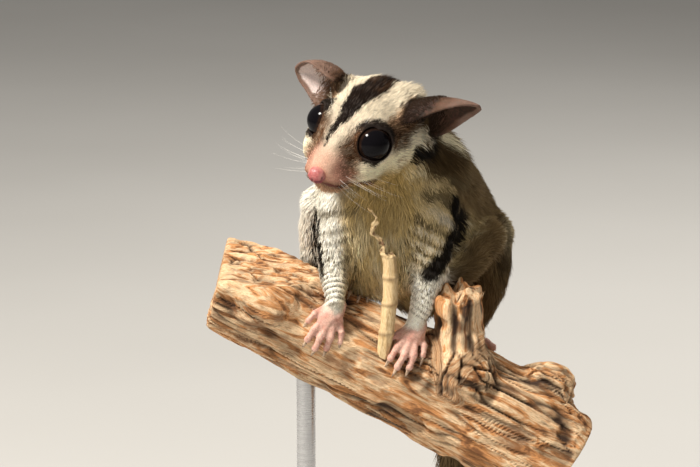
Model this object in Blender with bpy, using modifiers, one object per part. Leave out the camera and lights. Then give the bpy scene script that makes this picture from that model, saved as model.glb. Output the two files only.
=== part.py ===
"""A life-size model of a sugar glider crouched on a cut length of weathered branch, on a display stand.

Metres, +Z up. The origin is the centre of the stand's underside. The glider faces -Y and
turns its head to its right, so +X is its left side. Its places are given in millimetres from
the datum, a point on the branch's axis above the stand, and its solids run out to the tips
of the coat.
"""

import math

import bmesh
import bpy
from mathutils import Matrix, Vector
from mathutils.bvhtree import BVHTree

MM = 0.001
GAP = 0.0003

# The stand and the branch
DATUM = Vector((-0.004, -0.024, 0.142))
BASE_LENGTH = 0.150
BASE_WIDTH = 0.110
BASE_THICKNESS = 0.012
BASE_EDGE = 0.002
ROD_RADIUS = 0.003
ROD_X = (-0.034, 0.034)
BRANCH_SLOPE = math.radians(26.4)
BRANCH_ENDS = (-68.0, 64.0)
BRANCH_RADII = ((-70, 23.0), (-56, 19.5), (-45, 17.6), (-25, 16.0), (0, 16.8), (22, 18.6), (45, 18.6), (66, 16.5))
BRANCH_BEND = ((-70, 10.5), (-56, 5.5), (-45, 2.5), (-34, 0.3), (-28, 0.0), (30, 0.0), (45, -1.5), (66, -7.0))
STUB_PLACE = 17.0
STUB_ANGLE = math.radians(36)
STUB_HEIGHT = 25.0

# The head, turned and tilted from the datum's axes
HEAD_PLACE = (-16.2, -16.0, 80.5)
HEAD_FORWARD = Vector((-0.566, -0.711, -0.418))
HEAD_LEFT = Vector((0.8265, -0.475, -0.302))
EYE_RADIUS = 5.7
EYE_SPREAD = 8.7
EYE_AIM = (0.50, 0.83, 0.22)
EAR_LENGTH = 25.0
EAR_THICKNESS = 1.0

# The thin cuts across the body: a place in millimetres from the datum, and the way the body runs there
HEAD_CUT = ((-7.0, -3.5, 79.0), (0.50, 0.72, -0.48))
NECK_CUT = ((-1.0, 6.0, 63.0), (0.15, 0.62, -0.77))
TAIL_CUT = ((18.5, 71.0, 20.0), (0.18, 0.80, -0.57))
MID_TAIL_CUT = ((23.0, 90.5, -32.0), (0.0, 0.06, -1.0))
TIP_CUT = ((17.0, 91.5, -89.0), (-0.22, 0.22, -0.95))

COLOURS = {
    "coat_grey": ((0.36, 0.32, 0.26), 0.9, 0.0),
    "coat_cream": ((0.72, 0.66, 0.52), 0.9, 0.0),
    "bare_skin": ((0.80, 0.52, 0.46), 0.6, 0.0),
    "eye_black": ((0.012, 0.010, 0.010), 0.08, 0.0),
    "weathered_wood": ((0.62, 0.40, 0.22), 0.8, 0.0),
    "stand_wood": ((0.09, 0.05, 0.03), 0.45, 0.0),
    "stand_steel": ((0.55, 0.55, 0.56), 0.3, 1.0),
}


def clear_scene():
    for obj in list(bpy.data.objects):
        bpy.data.objects.remove(obj)


def collection(name, shown=True):
    made = bpy.data.collections.new(name)
    bpy.context.scene.collection.children.link(made)
    made.hide_render = not shown
    return made


def material(name):
    colour, roughness, metallic = COLOURS[name]
    made = bpy.data.materials.get(name) or bpy.data.materials.new(name)
    made.use_nodes = True
    shader = made.node_tree.nodes["Principled BSDF"]
    shader.inputs["Base Color"].default_value = (*colour, 1.0)
    shader.inputs["Roughness"].default_value = roughness
    shader.inputs["Metallic"].default_value = metallic
    return made


def at(x, y, z):
    """A point in metres, from millimetres measured from the datum."""
    return DATUM + Vector((x, y, z)) * MM


def frame_of(origin, forward, left):
    """A matrix from millimetres along forward, left and up to metres in the model's frame."""
    x = forward.normalized()
    z = x.cross(left).normalized()
    y = z.cross(x)
    turn = Matrix((x, y, z)).transposed().to_4x4()
    return Matrix.Translation(origin) @ turn @ Matrix.Scale(MM, 4)


HEAD = frame_of(at(*HEAD_PLACE), HEAD_FORWARD, HEAD_LEFT)
DATUM_FRAME = frame_of(DATUM, Vector((1, 0, 0)), Vector((0, 1, 0)))


def between(table, along):
    """The value that a table of (place, value) pairs gives at a place between them."""
    for (a, first), (b, second) in zip(table, table[1:]):
        if along <= b:
            share = max(0.0, (along - a) / (b - a))
            return first + (second - first) * share
    return table[-1][1]


def branch_radius(along):
    """The branch's radius in millimetres at a distance along its axis from the datum."""
    return between(BRANCH_RADII, along)


def on_branch(along, angle, height):
    """A place over the branch's bark: angle runs from its crest towards -Y, height is above the bark."""
    reach = branch_radius(along) + height
    rise, front = reach * math.cos(angle), reach * math.sin(angle)
    cos, sin = math.cos(BRANCH_SLOPE), math.sin(BRANCH_SLOPE)
    return (along * cos + rise * sin, -front, -along * sin + rise * cos)


# Shapes that are added to a bmesh, in millimetres of a frame

def ball(bm, frame, centre, radii, segments=20):
    place = frame @ Matrix.Translation(centre) @ Matrix.Diagonal((*radii, 1.0))
    bmesh.ops.create_uvsphere(bm, u_segments=segments, v_segments=segments // 2 + 2, radius=1.0, matrix=place)


def curve_through(points, steps):
    """Points on a smooth curve through the given ones, each any list of numbers."""
    ends = [points[0], *points, points[-1]]
    made = []
    for p0, p1, p2, p3 in zip(ends, ends[1:], ends[2:], ends[3:]):
        for step in range(steps):
            t = step / steps
            made.append([
                0.5 * (2 * b + (c - a) * t + (2 * a - 5 * b + 4 * c - d) * t**2 + (3 * b - a - 3 * c + d) * t**3)
                for a, b, c, d in zip(p0, p1, p2, p3)
            ])
    made.append(list(points[-1]))
    return made


def limb(bm, frame, knots, steps=4, segments=14):
    """A round tapering limb through knots of (x, y, z, radius)."""
    line = curve_through(knots, steps)
    for x, y, z, radius in line:
        ball(bm, frame, (x, y, z), (radius,) * 3, segments)
    for first, second in zip(line, line[1:]):
        a, b = Vector(first[:3]), Vector(second[:3])
        length = (b - a).length
        if length < 1e-6:
            continue
        turn = (b - a).to_track_quat("Z", "Y").to_matrix().to_4x4()
        place = frame @ Matrix.Translation((a + b) / 2) @ turn
        bmesh.ops.create_cone(
            bm, cap_ends=True, cap_tris=False, segments=segments,
            radius1=first[3], radius2=second[3], depth=length, matrix=place,
        )


# Objects

def object_of(name, bm, group):
    mesh = bpy.data.meshes.new(name)
    bm.to_mesh(mesh)
    bm.free()
    made = bpy.data.objects.new(name, mesh)
    group.objects.link(made)
    return made


def evaluate(obj):
    """Puts the mesh that the object's modifiers make in its place, and drops the modifiers."""
    bpy.context.view_layer.update()
    graph = bpy.context.evaluated_depsgraph_get()
    mesh = bpy.data.meshes.new_from_object(obj.evaluated_get(graph))
    obj.modifiers.clear()
    obj.data = mesh


def join_shapes(obj, voxel, smoothing, triangles):
    """Makes the overlapping shapes in an object one closed skin of about that many triangles."""
    remesh = obj.modifiers.new("one_skin", "REMESH")
    remesh.mode = "VOXEL"
    remesh.voxel_size = voxel * MM
    soften = obj.modifiers.new("soften", "SMOOTH")
    soften.factor = 0.5
    soften.iterations = smoothing
    evaluate(obj)
    obj.data.calc_loop_triangles()
    thin = obj.modifiers.new("thin", "DECIMATE")
    thin.ratio = min(1.0, triangles / len(obj.data.loop_triangles))
    thin.use_collapse_triangulate = True
    evaluate(obj)


def keep_largest_body(obj):
    """Deletes the loose crumbs that a cut leaves beside the piece."""
    bm = bmesh.new()
    bm.from_mesh(obj.data)
    left, bodies = set(bm.verts), []
    while left:
        front = [left.pop()]
        body = set(front)
        while front:
            for edge in front.pop().link_edges:
                for vert in edge.verts:
                    if vert in left:
                        left.discard(vert)
                        body.add(vert)
                        front.append(vert)
        bodies.append(body)
    bodies.sort(key=len)
    crumbs = [vert for body in bodies[:-1] for vert in body]
    bmesh.ops.delete(bm, geom=crumbs, context="VERTS")
    bm.to_mesh(obj.data)
    bm.free()


class Model:
    """The pieces made so far, and the two collections that hold them and their cutters."""

    def __init__(self):
        self.parts = collection("sugar_glider")
        self.cutters = collection("cutters", shown=False)
        self.pieces = {}
        self.whole = {}

    def add(self, name, bm, look, voxel=None, smoothing=2, triangles=300):
        obj = object_of(name, bm, self.parts)
        if voxel:
            join_shapes(obj, voxel, smoothing, triangles)
        obj.data.materials.clear()
        obj.data.materials.append(material(look))
        self.pieces[name] = obj
        self.whole[name] = obj.data.copy()
        return obj

    def grown_copy(self, name, gap):
        """A cutter: the piece as it was before any cut, grown by the gap."""
        cutter = bpy.data.objects.new("cutter_" + name, self.whole[name].copy())
        self.cutters.objects.link(cutter)
        cutter.display_type = "WIRE"
        cutter.hide_render = True
        grow = cutter.modifiers.new("gap", "DISPLACE")
        grow.mid_level = 0.0
        grow.strength = gap
        evaluate(cutter)
        return cutter

    def part(self, name, cut, side):
        """Parts a piece along a thin cut, keeps what lies before (1) or behind (-1) it, and closes the end."""
        place, way = at(*cut[0]), Vector(cut[1]).normalized() * side
        obj = self.pieces[name]
        bm = bmesh.new()
        bm.from_mesh(obj.data)
        bmesh.ops.bisect_plane(
            bm, geom=bm.verts[:] + bm.edges[:] + bm.faces[:], dist=1e-6, plane_co=place - way * GAP / 2,
            plane_no=way, clear_outer=True,
        )
        bmesh.ops.edgeloop_fill(bm, edges=[edge for edge in bm.edges if edge.is_boundary])
        bmesh.ops.triangulate(bm, faces=bm.faces[:])
        bm.to_mesh(obj.data)
        bm.free()
        keep_largest_body(obj)
        self.whole[name] = obj.data.copy()

    def carve(self, name, *neighbours, gap=GAP):
        """Cuts the neighbours out of a piece, with the gap between them."""
        obj = self.pieces[name]
        for neighbour in neighbours:
            cutter = self.grown_copy(neighbour, gap)
            cut = obj.modifiers.new("cut", "BOOLEAN")
            cut.operation = "DIFFERENCE"
            cut.object = cutter
            evaluate(obj)
            bpy.data.objects.remove(cutter)
        keep_largest_body(obj)


# The branch and its stand

def make_branch(model):
    """A weathered bough, cut square at both ends, with a broken stub and two old knots."""
    bm = bmesh.new()
    low, high = BRANCH_ENDS
    steps = 14
    cos, sin = math.cos(BRANCH_SLOPE), math.sin(BRANCH_SLOPE)
    knots = []
    for step in range(steps + 1):
        along = low + (high - low) * step / steps
        sway = 1.2 * math.sin(along * 0.055)
        knots.append((along * cos, sway, -along * sin + between(BRANCH_BEND, along), branch_radius(along)))
    limb(bm, DATUM_FRAME, knots, steps=2, segments=24)
    foot = on_branch(STUB_PLACE, STUB_ANGLE, -8.0)
    flare = (foot[0], foot[1] - 0.5, foot[2] + 8.0, 9.6)
    waist = (foot[0] - 1.0, foot[1] - 1.0, foot[2] + 17.0, 7.4)
    crown = (foot[0] - 0.5, foot[1] - 1.5, foot[2] + STUB_HEIGHT, 8.0)
    limb(bm, DATUM_FRAME, [(*foot, 13.0), flare, waist, crown], steps=3, segments=18)
    ball(bm, DATUM_FRAME, on_branch(44, math.radians(-5), -2.0), (11, 9, 8))
    ball(bm, DATUM_FRAME, on_branch(-50, math.radians(75), -3.0), (12, 7, 8))
    model.add("perch_branch", bm, "weathered_wood", voxel=1.4, smoothing=2, triangles=760)
    square_ends(model)


def square_ends(model):
    """Saws the branch's two ends and the stub's top flat."""
    obj = model.pieces["perch_branch"]
    along = Vector((math.cos(BRANCH_SLOPE), 0, -math.sin(BRANCH_SLOPE)))
    foot = Vector(on_branch(STUB_PLACE, STUB_ANGLE, -8.0))
    low, high = along * (BRANCH_ENDS[0] + 3), along * (BRANCH_ENDS[1] - 3)
    saws = [
        (DATUM + low * MM, -along - Vector((0, 0, 0.22))),
        (DATUM + high * MM, along - Vector((0, 0, 0.25))),
        (DATUM + (foot + Vector((0, 0, STUB_HEIGHT + 3))) * MM, Vector((0.1, -0.15, 1)).normalized()),
    ]
    bm = bmesh.new()
    bm.from_mesh(obj.data)
    for point, normal in saws:
        bmesh.ops.bisect_plane(
            bm, geom=bm.verts[:] + bm.edges[:] + bm.faces[:], plane_co=point, plane_no=normal, clear_outer=True,
        )
        rim = [edge for edge in bm.edges if edge.is_boundary]
        bmesh.ops.edgeloop_fill(bm, edges=rim)
    bmesh.ops.triangulate(bm, faces=bm.faces[:])
    bm.to_mesh(obj.data)
    bm.free()
    model.whole["perch_branch"] = obj.data.copy()


def make_stand(model):
    """A flat wooden base with eased edges, and two steel rods let into it and into the branch."""
    bm = bmesh.new()
    size = Matrix.Diagonal((BASE_LENGTH, BASE_WIDTH, BASE_THICKNESS, 1))
    bmesh.ops.create_cube(bm, size=1.0, matrix=Matrix.Translation((0, 0, BASE_THICKNESS / 2)) @ size)
    bmesh.ops.bevel(
        bm, geom=bm.edges[:], offset=BASE_EDGE, segments=1, profile=0.5, affect="EDGES", material=-1,
    )
    model.add("stand_base", bm, "stand_wood")
    sunk = 0.007
    for side, x in zip(("right", "left"), ROD_X):
        crossing = DATUM.z - (x - DATUM.x) * math.tan(BRANCH_SLOPE)
        low, high = BASE_THICKNESS - sunk, crossing - 0.009
        bm = bmesh.new()
        bmesh.ops.create_cone(
            bm, cap_ends=True, cap_tris=False, segments=16, radius1=ROD_RADIUS, radius2=ROD_RADIUS,
            depth=high - low, matrix=Matrix.Translation((x, DATUM.y, (low + high) / 2)),
        )
        model.add("stand_rod_" + side, bm, "stand_steel")


# The head

def make_eyes(model):
    for side, name in ((1, "eye_left"), (-1, "eye_right")):
        bm = bmesh.new()
        aim = Vector((EYE_AIM[0], side * EYE_AIM[1], EYE_AIM[2])).normalized()
        centre = Vector((0, side * EYE_SPREAD, 0))
        turn = aim.to_track_quat("Z", "Y").to_matrix().to_4x4()
        place = HEAD @ Matrix.Translation(centre) @ turn @ Matrix.Diagonal((*(EYE_RADIUS,) * 3, 1))
        bmesh.ops.create_uvsphere(bm, u_segments=14, v_segments=9, radius=1.0, matrix=place)
        model.add(name, bm, "eye_black")


def head_shapes(bm):
    """Skull, crown, brows, cheeks, ear roots, lips and tapering muzzle."""
    ball(bm, HEAD, (-9.5, 0, -1.4), (14.5, 14.4, 11.4))
    ball(bm, HEAD, (-16.0, 2.0, -1.5), (13.0, 14.6, 11.6))
    ball(bm, HEAD, (2.0, 0, 0.2), (9.5, 8.0, 6.6))
    for side in (1, -1):
        ball(bm, HEAD, (-0.5, side * 8.2, -6.8), (11.0, 6.7, 6.8))
        ball(bm, HEAD, (-3.2, side * 8.2, 0.2), (7.0, 5.0, 6.6))
        ball(bm, HEAD, (-14.0, side * 11.0, 2.0), (6.0, 5.5, 6.0))
        ball(bm, HEAD, (9.8, side * 3.7, -7.8), (6.6, 4.0, 4.3))
    limb(bm, HEAD, [(3, 0, -3.2, 8.2), (8.5, 0, -4.6, 6.8), (12.6, 0, -5.8, 4.9), (14.6, 0, -6.0, 3.4)], steps=3)


def neck_shapes(bm):
    knots = [(-9.5, -8.5, 79.0, 14.0), (-4.0, 1.0, 72.0, 17.5), (2.5, 12.0, 61.5, 21.0)]
    limb(bm, DATUM_FRAME, knots, steps=4, segments=20)


def trunk_shapes(bm):
    """Shoulders, arched back and rump along the spine, with chest and belly under them."""
    spine = [
        (-1.5, 5.0, 53.0, 19.5), (4.0, 16.0, 56.5, 21.3), (8.0, 27.0, 51.5, 22.3), (10.5, 39.0, 44.5, 23.0),
        (14.0, 51.0, 36.5, 22.5), (16.0, 57.0, 31.5, 20.0),
    ]
    limb(bm, DATUM_FRAME, spine, steps=3, segments=22)
    ball(bm, DATUM_FRAME, (-2.5, 5.5, 46.0), (22.0, 18.5, 25.0))
    ball(bm, DATUM_FRAME, (5.0, 21.0, 41.0), (21.0, 19.0, 21.0))
    ball(bm, DATUM_FRAME, (-7.0, 9.0, 32.0), (16.0, 16.0, 13.0))
    ball(bm, DATUM_FRAME, (7.0, 15.0, 25.0), (14.0, 18.0, 13.0))


TAIL_ROOT = ((15, 60, 28, 17.0), (19.5, 73, 18, 12.8), (22, 84, 2, 10.8), (23, 89, -18, 10.4))


def make_head(model):
    """The head, parted from the neck by a thin cut behind the ears."""
    bm = bmesh.new()
    head_shapes(bm)
    neck_shapes(bm)
    model.add("head", bm, "coat_cream", voxel=0.9, smoothing=4, triangles=930)
    model.part("head", HEAD_CUT, 1)
    bm = bmesh.new()
    ball(bm, HEAD, (17.3, 0, -4.8), (2.5, 2.9, 2.3), segments=10)
    model.add("nose", bm, "bare_skin")


def make_lower_jaw(model):
    bm = bmesh.new()
    knots = [(-7, 0, -13.4, 5.8), (0, 0, -13.6, 5.6), (6.5, 0, -12.8, 4.6), (10.5, 0, -12.0, 3.4), (12.6, 0, -11.4, 2.4)]
    limb(bm, HEAD, knots, steps=3)
    model.add("lower_jaw", bm, "coat_cream", voxel=0.9, smoothing=1, triangles=150)


def make_ear(model, name, root, tip, opening):
    """A cupped leaf from root to tip, rolled into a tube at its root, with its hollow towards opening."""
    rows, columns = 9, 8
    root, tip, opening = Vector(root), Vector(tip), Vector(opening)
    along = (tip - root).normalized()
    across = along.cross(opening).normalized()
    hollow = across.cross(along).normalized()
    length = (tip - root).length
    bm = bmesh.new()
    bmesh.ops.create_grid(bm, x_segments=columns, y_segments=rows, size=0.5)
    for vert in bm.verts:
        u, v = vert.co.y + 0.5, vert.co.x * 2
        half_width = 6.0 + 2.2 * math.sin(math.pi * min(1.0, u * 1.15))
        half_width *= math.sqrt(max(0.0, 1 - (max(0.0, u - 0.35) / 0.66) ** 2.4))
        wrap = math.radians(118 - 62 * u)
        curl = half_width / max(0.6, math.sin(min(wrap, math.pi / 2)))
        sideways = curl * math.sin(v * wrap)
        depth = curl * (1 - math.cos(v * wrap)) - half_width * 0.5
        place = root + along * (u * length) + across * sideways + hollow * depth
        vert.co = HEAD @ place
    obj = model.add(name, bm, "bare_skin")
    shell = obj.modifiers.new("shell", "SOLIDIFY")
    shell.thickness = EAR_THICKNESS * MM
    shell.offset = 0.0
    evaluate(obj)
    join_shapes(obj, 0.42, 1, 210)
    model.whole[name] = obj.data.copy()


def make_ears(model):
    make_ear(model, "ear_left", (-15.5, 10.5, 1.4), (-26.5, 31.5, 6.5), (0.66, 0.42, -0.36))
    make_ear(model, "ear_right", (-13.0, -10.0, 3.5), (-13.5, -30.5, 0.5), (0.98, 0.0, 0.05))


# The trunk

def make_trunk(model):
    bm = bmesh.new()
    neck_shapes(bm)
    trunk_shapes(bm)
    limb(bm, DATUM_FRAME, TAIL_ROOT, segments=16)
    model.add("trunk", bm, "coat_grey", voxel=1.6, smoothing=8, triangles=720)
    model.part("trunk", NECK_CUT, -1)
    model.part("trunk", TAIL_CUT, 1)


def make_neck(model):
    bm = bmesh.new()
    head_shapes(bm)
    neck_shapes(bm)
    trunk_shapes(bm)
    model.add("neck", bm, "coat_grey", voxel=1.3, smoothing=6, triangles=900)
    model.part("neck", HEAD_CUT, -1)
    model.part("neck", NECK_CUT, 1)


def make_tail(model):
    """A soft brush that hangs behind the branch and lifts at its tip, in three lengths."""
    knots = [
        *TAIL_ROOT, (23, 91, -40, 10.0), (21, 90, -64, 9.4),
        (17.5, 91, -87, 8.6), (12, 97, -105, 7.6), (4, 107, -115, 6.4), (-6, 118, -116, 4.6), (-13, 126, -111, 2.2),
    ]
    bm = bmesh.new()
    limb(bm, DATUM_FRAME, knots, segments=16)
    whole = model.add("tail_whole", bm, "coat_grey", voxel=1.1, smoothing=2, triangles=560)
    cuts = {
        "tail_base": ((TAIL_CUT, -1), (MID_TAIL_CUT, 1)),
        "tail_middle": ((MID_TAIL_CUT, -1), (TIP_CUT, 1)),
        "tail_tip": ((TIP_CUT, -1),),
    }
    for name, ends in cuts.items():
        bm = bmesh.new()
        bm.from_mesh(whole.data)
        model.add(name, bm, "coat_grey")
        for cut, side in ends:
            model.part(name, cut, side)
    bpy.data.objects.remove(model.pieces.pop("tail_whole"))


# The limbs

def digit(bm, place, radius, path):
    """A toe or finger over the bark, through (along, angle in degrees, height) places, with a small claw."""
    knots = []
    for step, (along, angle, height) in enumerate(path):
        taper = 1.0 - 0.10 * step
        knots.append((*on_branch(place[0] + along, math.radians(place[1] + angle), height), radius * taper))
    limb(bm, DATUM_FRAME, knots, steps=3, segments=10)
    end, before = Vector(knots[-1][:3]), Vector(knots[-2][:3])
    reach = (end - before).normalized() * 1.9
    claw = [(*(end + reach * share), radius * size) for share, size in ((0.0, 0.62), (0.6, 0.42), (1.0, 0.24))]
    limb(bm, DATUM_FRAME, claw, steps=2, segments=8)


FORE_PALM = (4.6, 3.6, 2.4)
FORE_DIGITS = (
    (1.15, ((-2.6, -4, 2.2), (-4.8, 6, 2.2), (-5.6, 15, 1.4))),
    (1.25, ((-1.6, 7, 2.6), (-2.8, 20, 2.6), (-3.2, 32, 1.4))),
    (1.30, ((0.2, 9, 2.8), (0.0, 24, 2.8), (0.2, 37, 1.4))),
    (1.25, ((2.0, 7, 2.6), (2.9, 20, 2.6), (3.4, 32, 1.4))),
    (1.15, ((3.4, 1, 2.2), (5.4, 11, 2.2), (6.4, 20, 1.4))),
)
HIND_DIGITS = (
    (1.55, ((4.0, 0, 2.6), (7.2, 3, 2.8), (9.4, 9, 1.6))),
    (1.15, ((1.6, 16, 2.6), (1.9, 30, 2.6), (1.8, 41, 1.3))),
    (1.15, ((0.0, 16, 2.6), (-0.1, 32, 2.6), (0.0, 44, 1.3))),
    (1.35, ((-1.7, 15, 2.8), (-2.6, 31, 2.8), (-3.0, 45, 1.4))),
    (1.20, ((-3.2, 12, 2.6), (-5.0, 26, 2.6), (-5.8, 37, 1.3))),
)


def make_paw(model, name, place, sole, digits, mirror):
    """A bare-toed foot gripping the bark: a flattened sole and five clawed digits."""
    bm = bmesh.new()
    for from_angle, height, radius in sole:
        spot = on_branch(place[0], math.radians(place[1] + from_angle), height)
        ball(bm, DATUM_FRAME, spot, (radius * 1.25, radius, radius), segments=14)
    for radius, path in digits:
        digit(bm, place, radius, [(mirror * along, angle, height) for along, angle, height in path])
    model.add(name, bm, "bare_skin", voxel=0.5, smoothing=1, triangles=240)


FORE_SOLE = ((-11, 3.6, 3.0), (-4, 2.6, 3.2), (3, 2.2, 3.0))
HIND_SOLE = ((-34, 4.4, 3.4), (-24, 3.2, 3.2), (-13, 2.5, 3.3), (-2, 2.3, 3.6), (8, 2.3, 3.2))


def make_forelimbs(model):
    """Fore paws lie on the branch's near face, the right one further down it than the left."""
    paws = {"right": (-29.5, 57.0, 1), "left": (-3.2, 38.0, -1)}
    arms = {
        "right": [(-18, 4, 60, 8.5), (-21, -2, 49, 7.0), (-21.5, -5.0, 39, 6.2)],
        "left": [(12, 5, 60, 9.0), (11.0, -3, 46, 8.4), (9.5, -6.5, 34.0, 6.9)],
    }
    forearms = {
        "right": [(-21.5, -5.5, 37.0, 5.8), (-20.6, -10.5, 31.0, 5.0), (-20.5, -15.5, 25.0, 3.6)],
        "left": [(9.2, -7.5, 31.5, 6.2), (7.4, -9.5, 25.0, 5.0), (4.6, -11.0, 18.5, 3.6)],
    }
    for side in ("right", "left"):
        along, angle, mirror = paws[side]
        make_paw(model, "fore_paw_" + side, (along, angle), FORE_SOLE, FORE_DIGITS, mirror)
        for part, knots, count in (("forearm_", forearms[side], 100), ("upper_arm_", arms[side], 120)):
            bm = bmesh.new()
            limb(bm, DATUM_FRAME, knots, steps=4)
            model.add(part + side, bm, "coat_cream", voxel=0.9, smoothing=1, triangles=count)


def make_hind_limbs(model):
    """Hind feet grip across the branch's crest, knees out beside the belly."""
    paws = {"right": (-26.0, -34.0, -1), "left": (15.0, -34.0, 1)}
    shanks = {
        "right": [(-25.5, 17.5, 34.0, 7.2), (-23.5, 21.0, 26.0, 6.2), (-19.5, 22.0, 18.5, 4.4)],
        "left": [(29.5, 22.0, 25.0, 7.4), (25.0, 24.0, 13.0, 6.2), (18.5, 22.0, 1.5, 4.4)],
    }
    thighs = {
        "right": [(0.0, 50.0, 35.0, 14.0), (-11.0, 37.0, 37.0, 15.0), (-23.5, 20.0, 36.0, 9.5)],
        "left": [(24.5, 51.0, 30.0, 13.5), (26.5, 38.0, 30.0, 14.0), (28.5, 24.0, 27.0, 9.5)],
    }
    for side in ("right", "left"):
        along, angle, mirror = paws[side]
        make_paw(model, "hind_foot_" + side, (along, angle), HIND_SOLE, HIND_DIGITS, mirror)
        for part, knots, count in (("shank_", shanks[side], 110), ("thigh_", thighs[side], 200)):
            bm = bmesh.new()
            limb(bm, DATUM_FRAME, knots, steps=4, segments=18)
            model.add(part + side, bm, "coat_grey", voxel=1.1, smoothing=1, triangles=count)


def make_patagia(model):
    """The gliding skin at rest: a rippled fold down each flank, from the elbow to the ankle."""
    folds = {
        "right": [(-21, 7, 62, 4.5), (-25, 10, 53, 7.0), (-26, 13, 44, 7.5), (-27, 15, 35, 6.0), (-25, 18, 27, 4.2)],
        "left": [(14, -3, 30, 3.8), (20, 3, 31, 5.0), (25, 13, 35, 6.2), (29.5, 27, 39, 7.2), (33, 41, 37, 6.6), (35.5, 52, 31, 4.2)],
    }
    for side, knots in folds.items():
        bm = bmesh.new()
        line = curve_through(knots, 4)
        rippled = [
            (x, y, z, radius * (1 + 0.12 * math.sin(step * 1.9))) for step, (x, y, z, radius) in enumerate(line)
        ]
        limb(bm, DATUM_FRAME, rippled, steps=1, segments=14)
        model.add("patagium_" + side, bm, "coat_grey", voxel=1.0, smoothing=2, triangles=150)


def make_twig(model):
    """A dry twig snapped off in front of the chest, with a strip of bark curling up from it."""
    bm = bmesh.new()
    stem = [(-5.4, -14.5, 9.0, 2.5), (-4.0, -16.0, 20.0, 2.4), (-3.2, -16.6, 31.0, 2.5), (-3.6, -17.0, 40.5, 2.2)]
    limb(bm, DATUM_FRAME, stem, steps=2, segments=10)
    strip = [
        (-5.0, -17.2, 40.0, 1.1), (-6.6, -18.0, 46.0, 0.8), (-9.0, -18.4, 50.0, 1.0), (-8.0, -18.8, 54.0, 0.8),
        (-10.5, -19.2, 57.0, 0.7),
    ]
    limb(bm, DATUM_FRAME, strip, steps=2, segments=8)
    model.add("perch_twig", bm, "weathered_wood", voxel=0.5, smoothing=1, triangles=110)


# Each piece is cut by those before it that it would run into
FITTING_ORDER = (
    "stand_rod_right", "stand_rod_left", "stand_base", "eye_left", "eye_right", "perch_branch", "trunk", "head",
    "nose", "lower_jaw", "neck", "ear_left", "ear_right", "upper_arm_right", "upper_arm_left", "thigh_right",
    "thigh_left", "fore_paw_right", "fore_paw_left", "hind_foot_right", "hind_foot_left", "forearm_right",
    "forearm_left", "shank_right", "shank_left", "tail_base", "tail_middle", "tail_tip", "patagium_right",
    "patagium_left", "perch_twig",
)


def surface_tree(mesh):
    bm = bmesh.new()
    bm.from_mesh(mesh)
    tree = BVHTree.FromBMesh(bm)
    bm.free()
    return tree


def fit_together(model):
    """Cuts each piece by the neighbours it would run into, so that they meet with a thin gap."""
    for place, name in enumerate(FITTING_ORDER):
        for neighbour in FITTING_ORDER[:place]:
            cutter = model.grown_copy(neighbour, GAP)
            meets = surface_tree(cutter.data).overlap(surface_tree(model.pieces[name].data))
            bpy.data.objects.remove(cutter)
            if meets:
                model.carve(name, neighbour)


def shade(model):
    for obj in model.pieces.values():
        obj.data.shade_smooth()
        obj.data.set_sharp_from_angle(angle=math.radians(40))


clear_scene()
glider = Model()
make_branch(glider)
make_stand(glider)
make_eyes(glider)
make_head(glider)
make_lower_jaw(glider)
make_ears(glider)
make_neck(glider)
make_trunk(glider)
make_tail(glider)
make_forelimbs(glider)
make_hind_limbs(glider)
make_patagia(glider)
make_twig(glider)
fit_together(glider)
shade(glider)
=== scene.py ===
import math

import bmesh
import bpy
import numpy as np
from mathutils import Matrix, Vector
from mathutils.bvhtree import BVHTree
from mathutils.kdtree import KDTree


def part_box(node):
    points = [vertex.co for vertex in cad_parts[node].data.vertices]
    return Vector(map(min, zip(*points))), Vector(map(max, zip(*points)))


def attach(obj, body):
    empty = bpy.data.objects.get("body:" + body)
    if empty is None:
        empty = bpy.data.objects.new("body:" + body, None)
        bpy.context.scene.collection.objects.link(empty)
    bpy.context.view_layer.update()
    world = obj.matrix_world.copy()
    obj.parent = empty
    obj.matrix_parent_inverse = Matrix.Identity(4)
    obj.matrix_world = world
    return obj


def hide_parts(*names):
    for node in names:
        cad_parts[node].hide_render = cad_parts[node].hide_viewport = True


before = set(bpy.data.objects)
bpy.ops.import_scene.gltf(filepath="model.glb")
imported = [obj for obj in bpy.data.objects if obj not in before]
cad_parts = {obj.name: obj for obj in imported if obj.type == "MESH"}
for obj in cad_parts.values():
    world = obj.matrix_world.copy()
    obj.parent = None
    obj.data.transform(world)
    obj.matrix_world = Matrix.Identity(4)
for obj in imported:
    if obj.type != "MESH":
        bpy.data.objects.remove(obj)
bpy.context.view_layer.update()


# The display base: a flat block of dark stained hardwood with softened edges and a routed step,
# satin lacquered. It lies flat and carries the two rods.

MM = 0.001
BASE_EDGE = 1.08 * MM
BASE_STEP = 3.0 * MM
STAIN_DARK = (0.030, 0.016, 0.009)
STAIN_LIGHT = (0.115, 0.058, 0.028)


def to_object(name, bm, smooth=True):
    """Makes an object of a bmesh, with its place in its mesh."""
    mesh = bpy.data.meshes.new(name)
    bm.to_mesh(mesh)
    bm.free()
    made = bpy.data.objects.new(name, mesh)
    bpy.context.scene.collection.objects.link(made)
    if smooth:
        mesh.shade_smooth()
    return made


def settle(obj):
    """Puts the mesh that the object's modifiers make in its place, and drops the modifiers."""
    bpy.context.view_layer.update()
    graph = bpy.context.evaluated_depsgraph_get()
    mesh = bpy.data.meshes.new_from_object(obj.evaluated_get(graph))
    obj.modifiers.clear()
    obj.data = mesh


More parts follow.
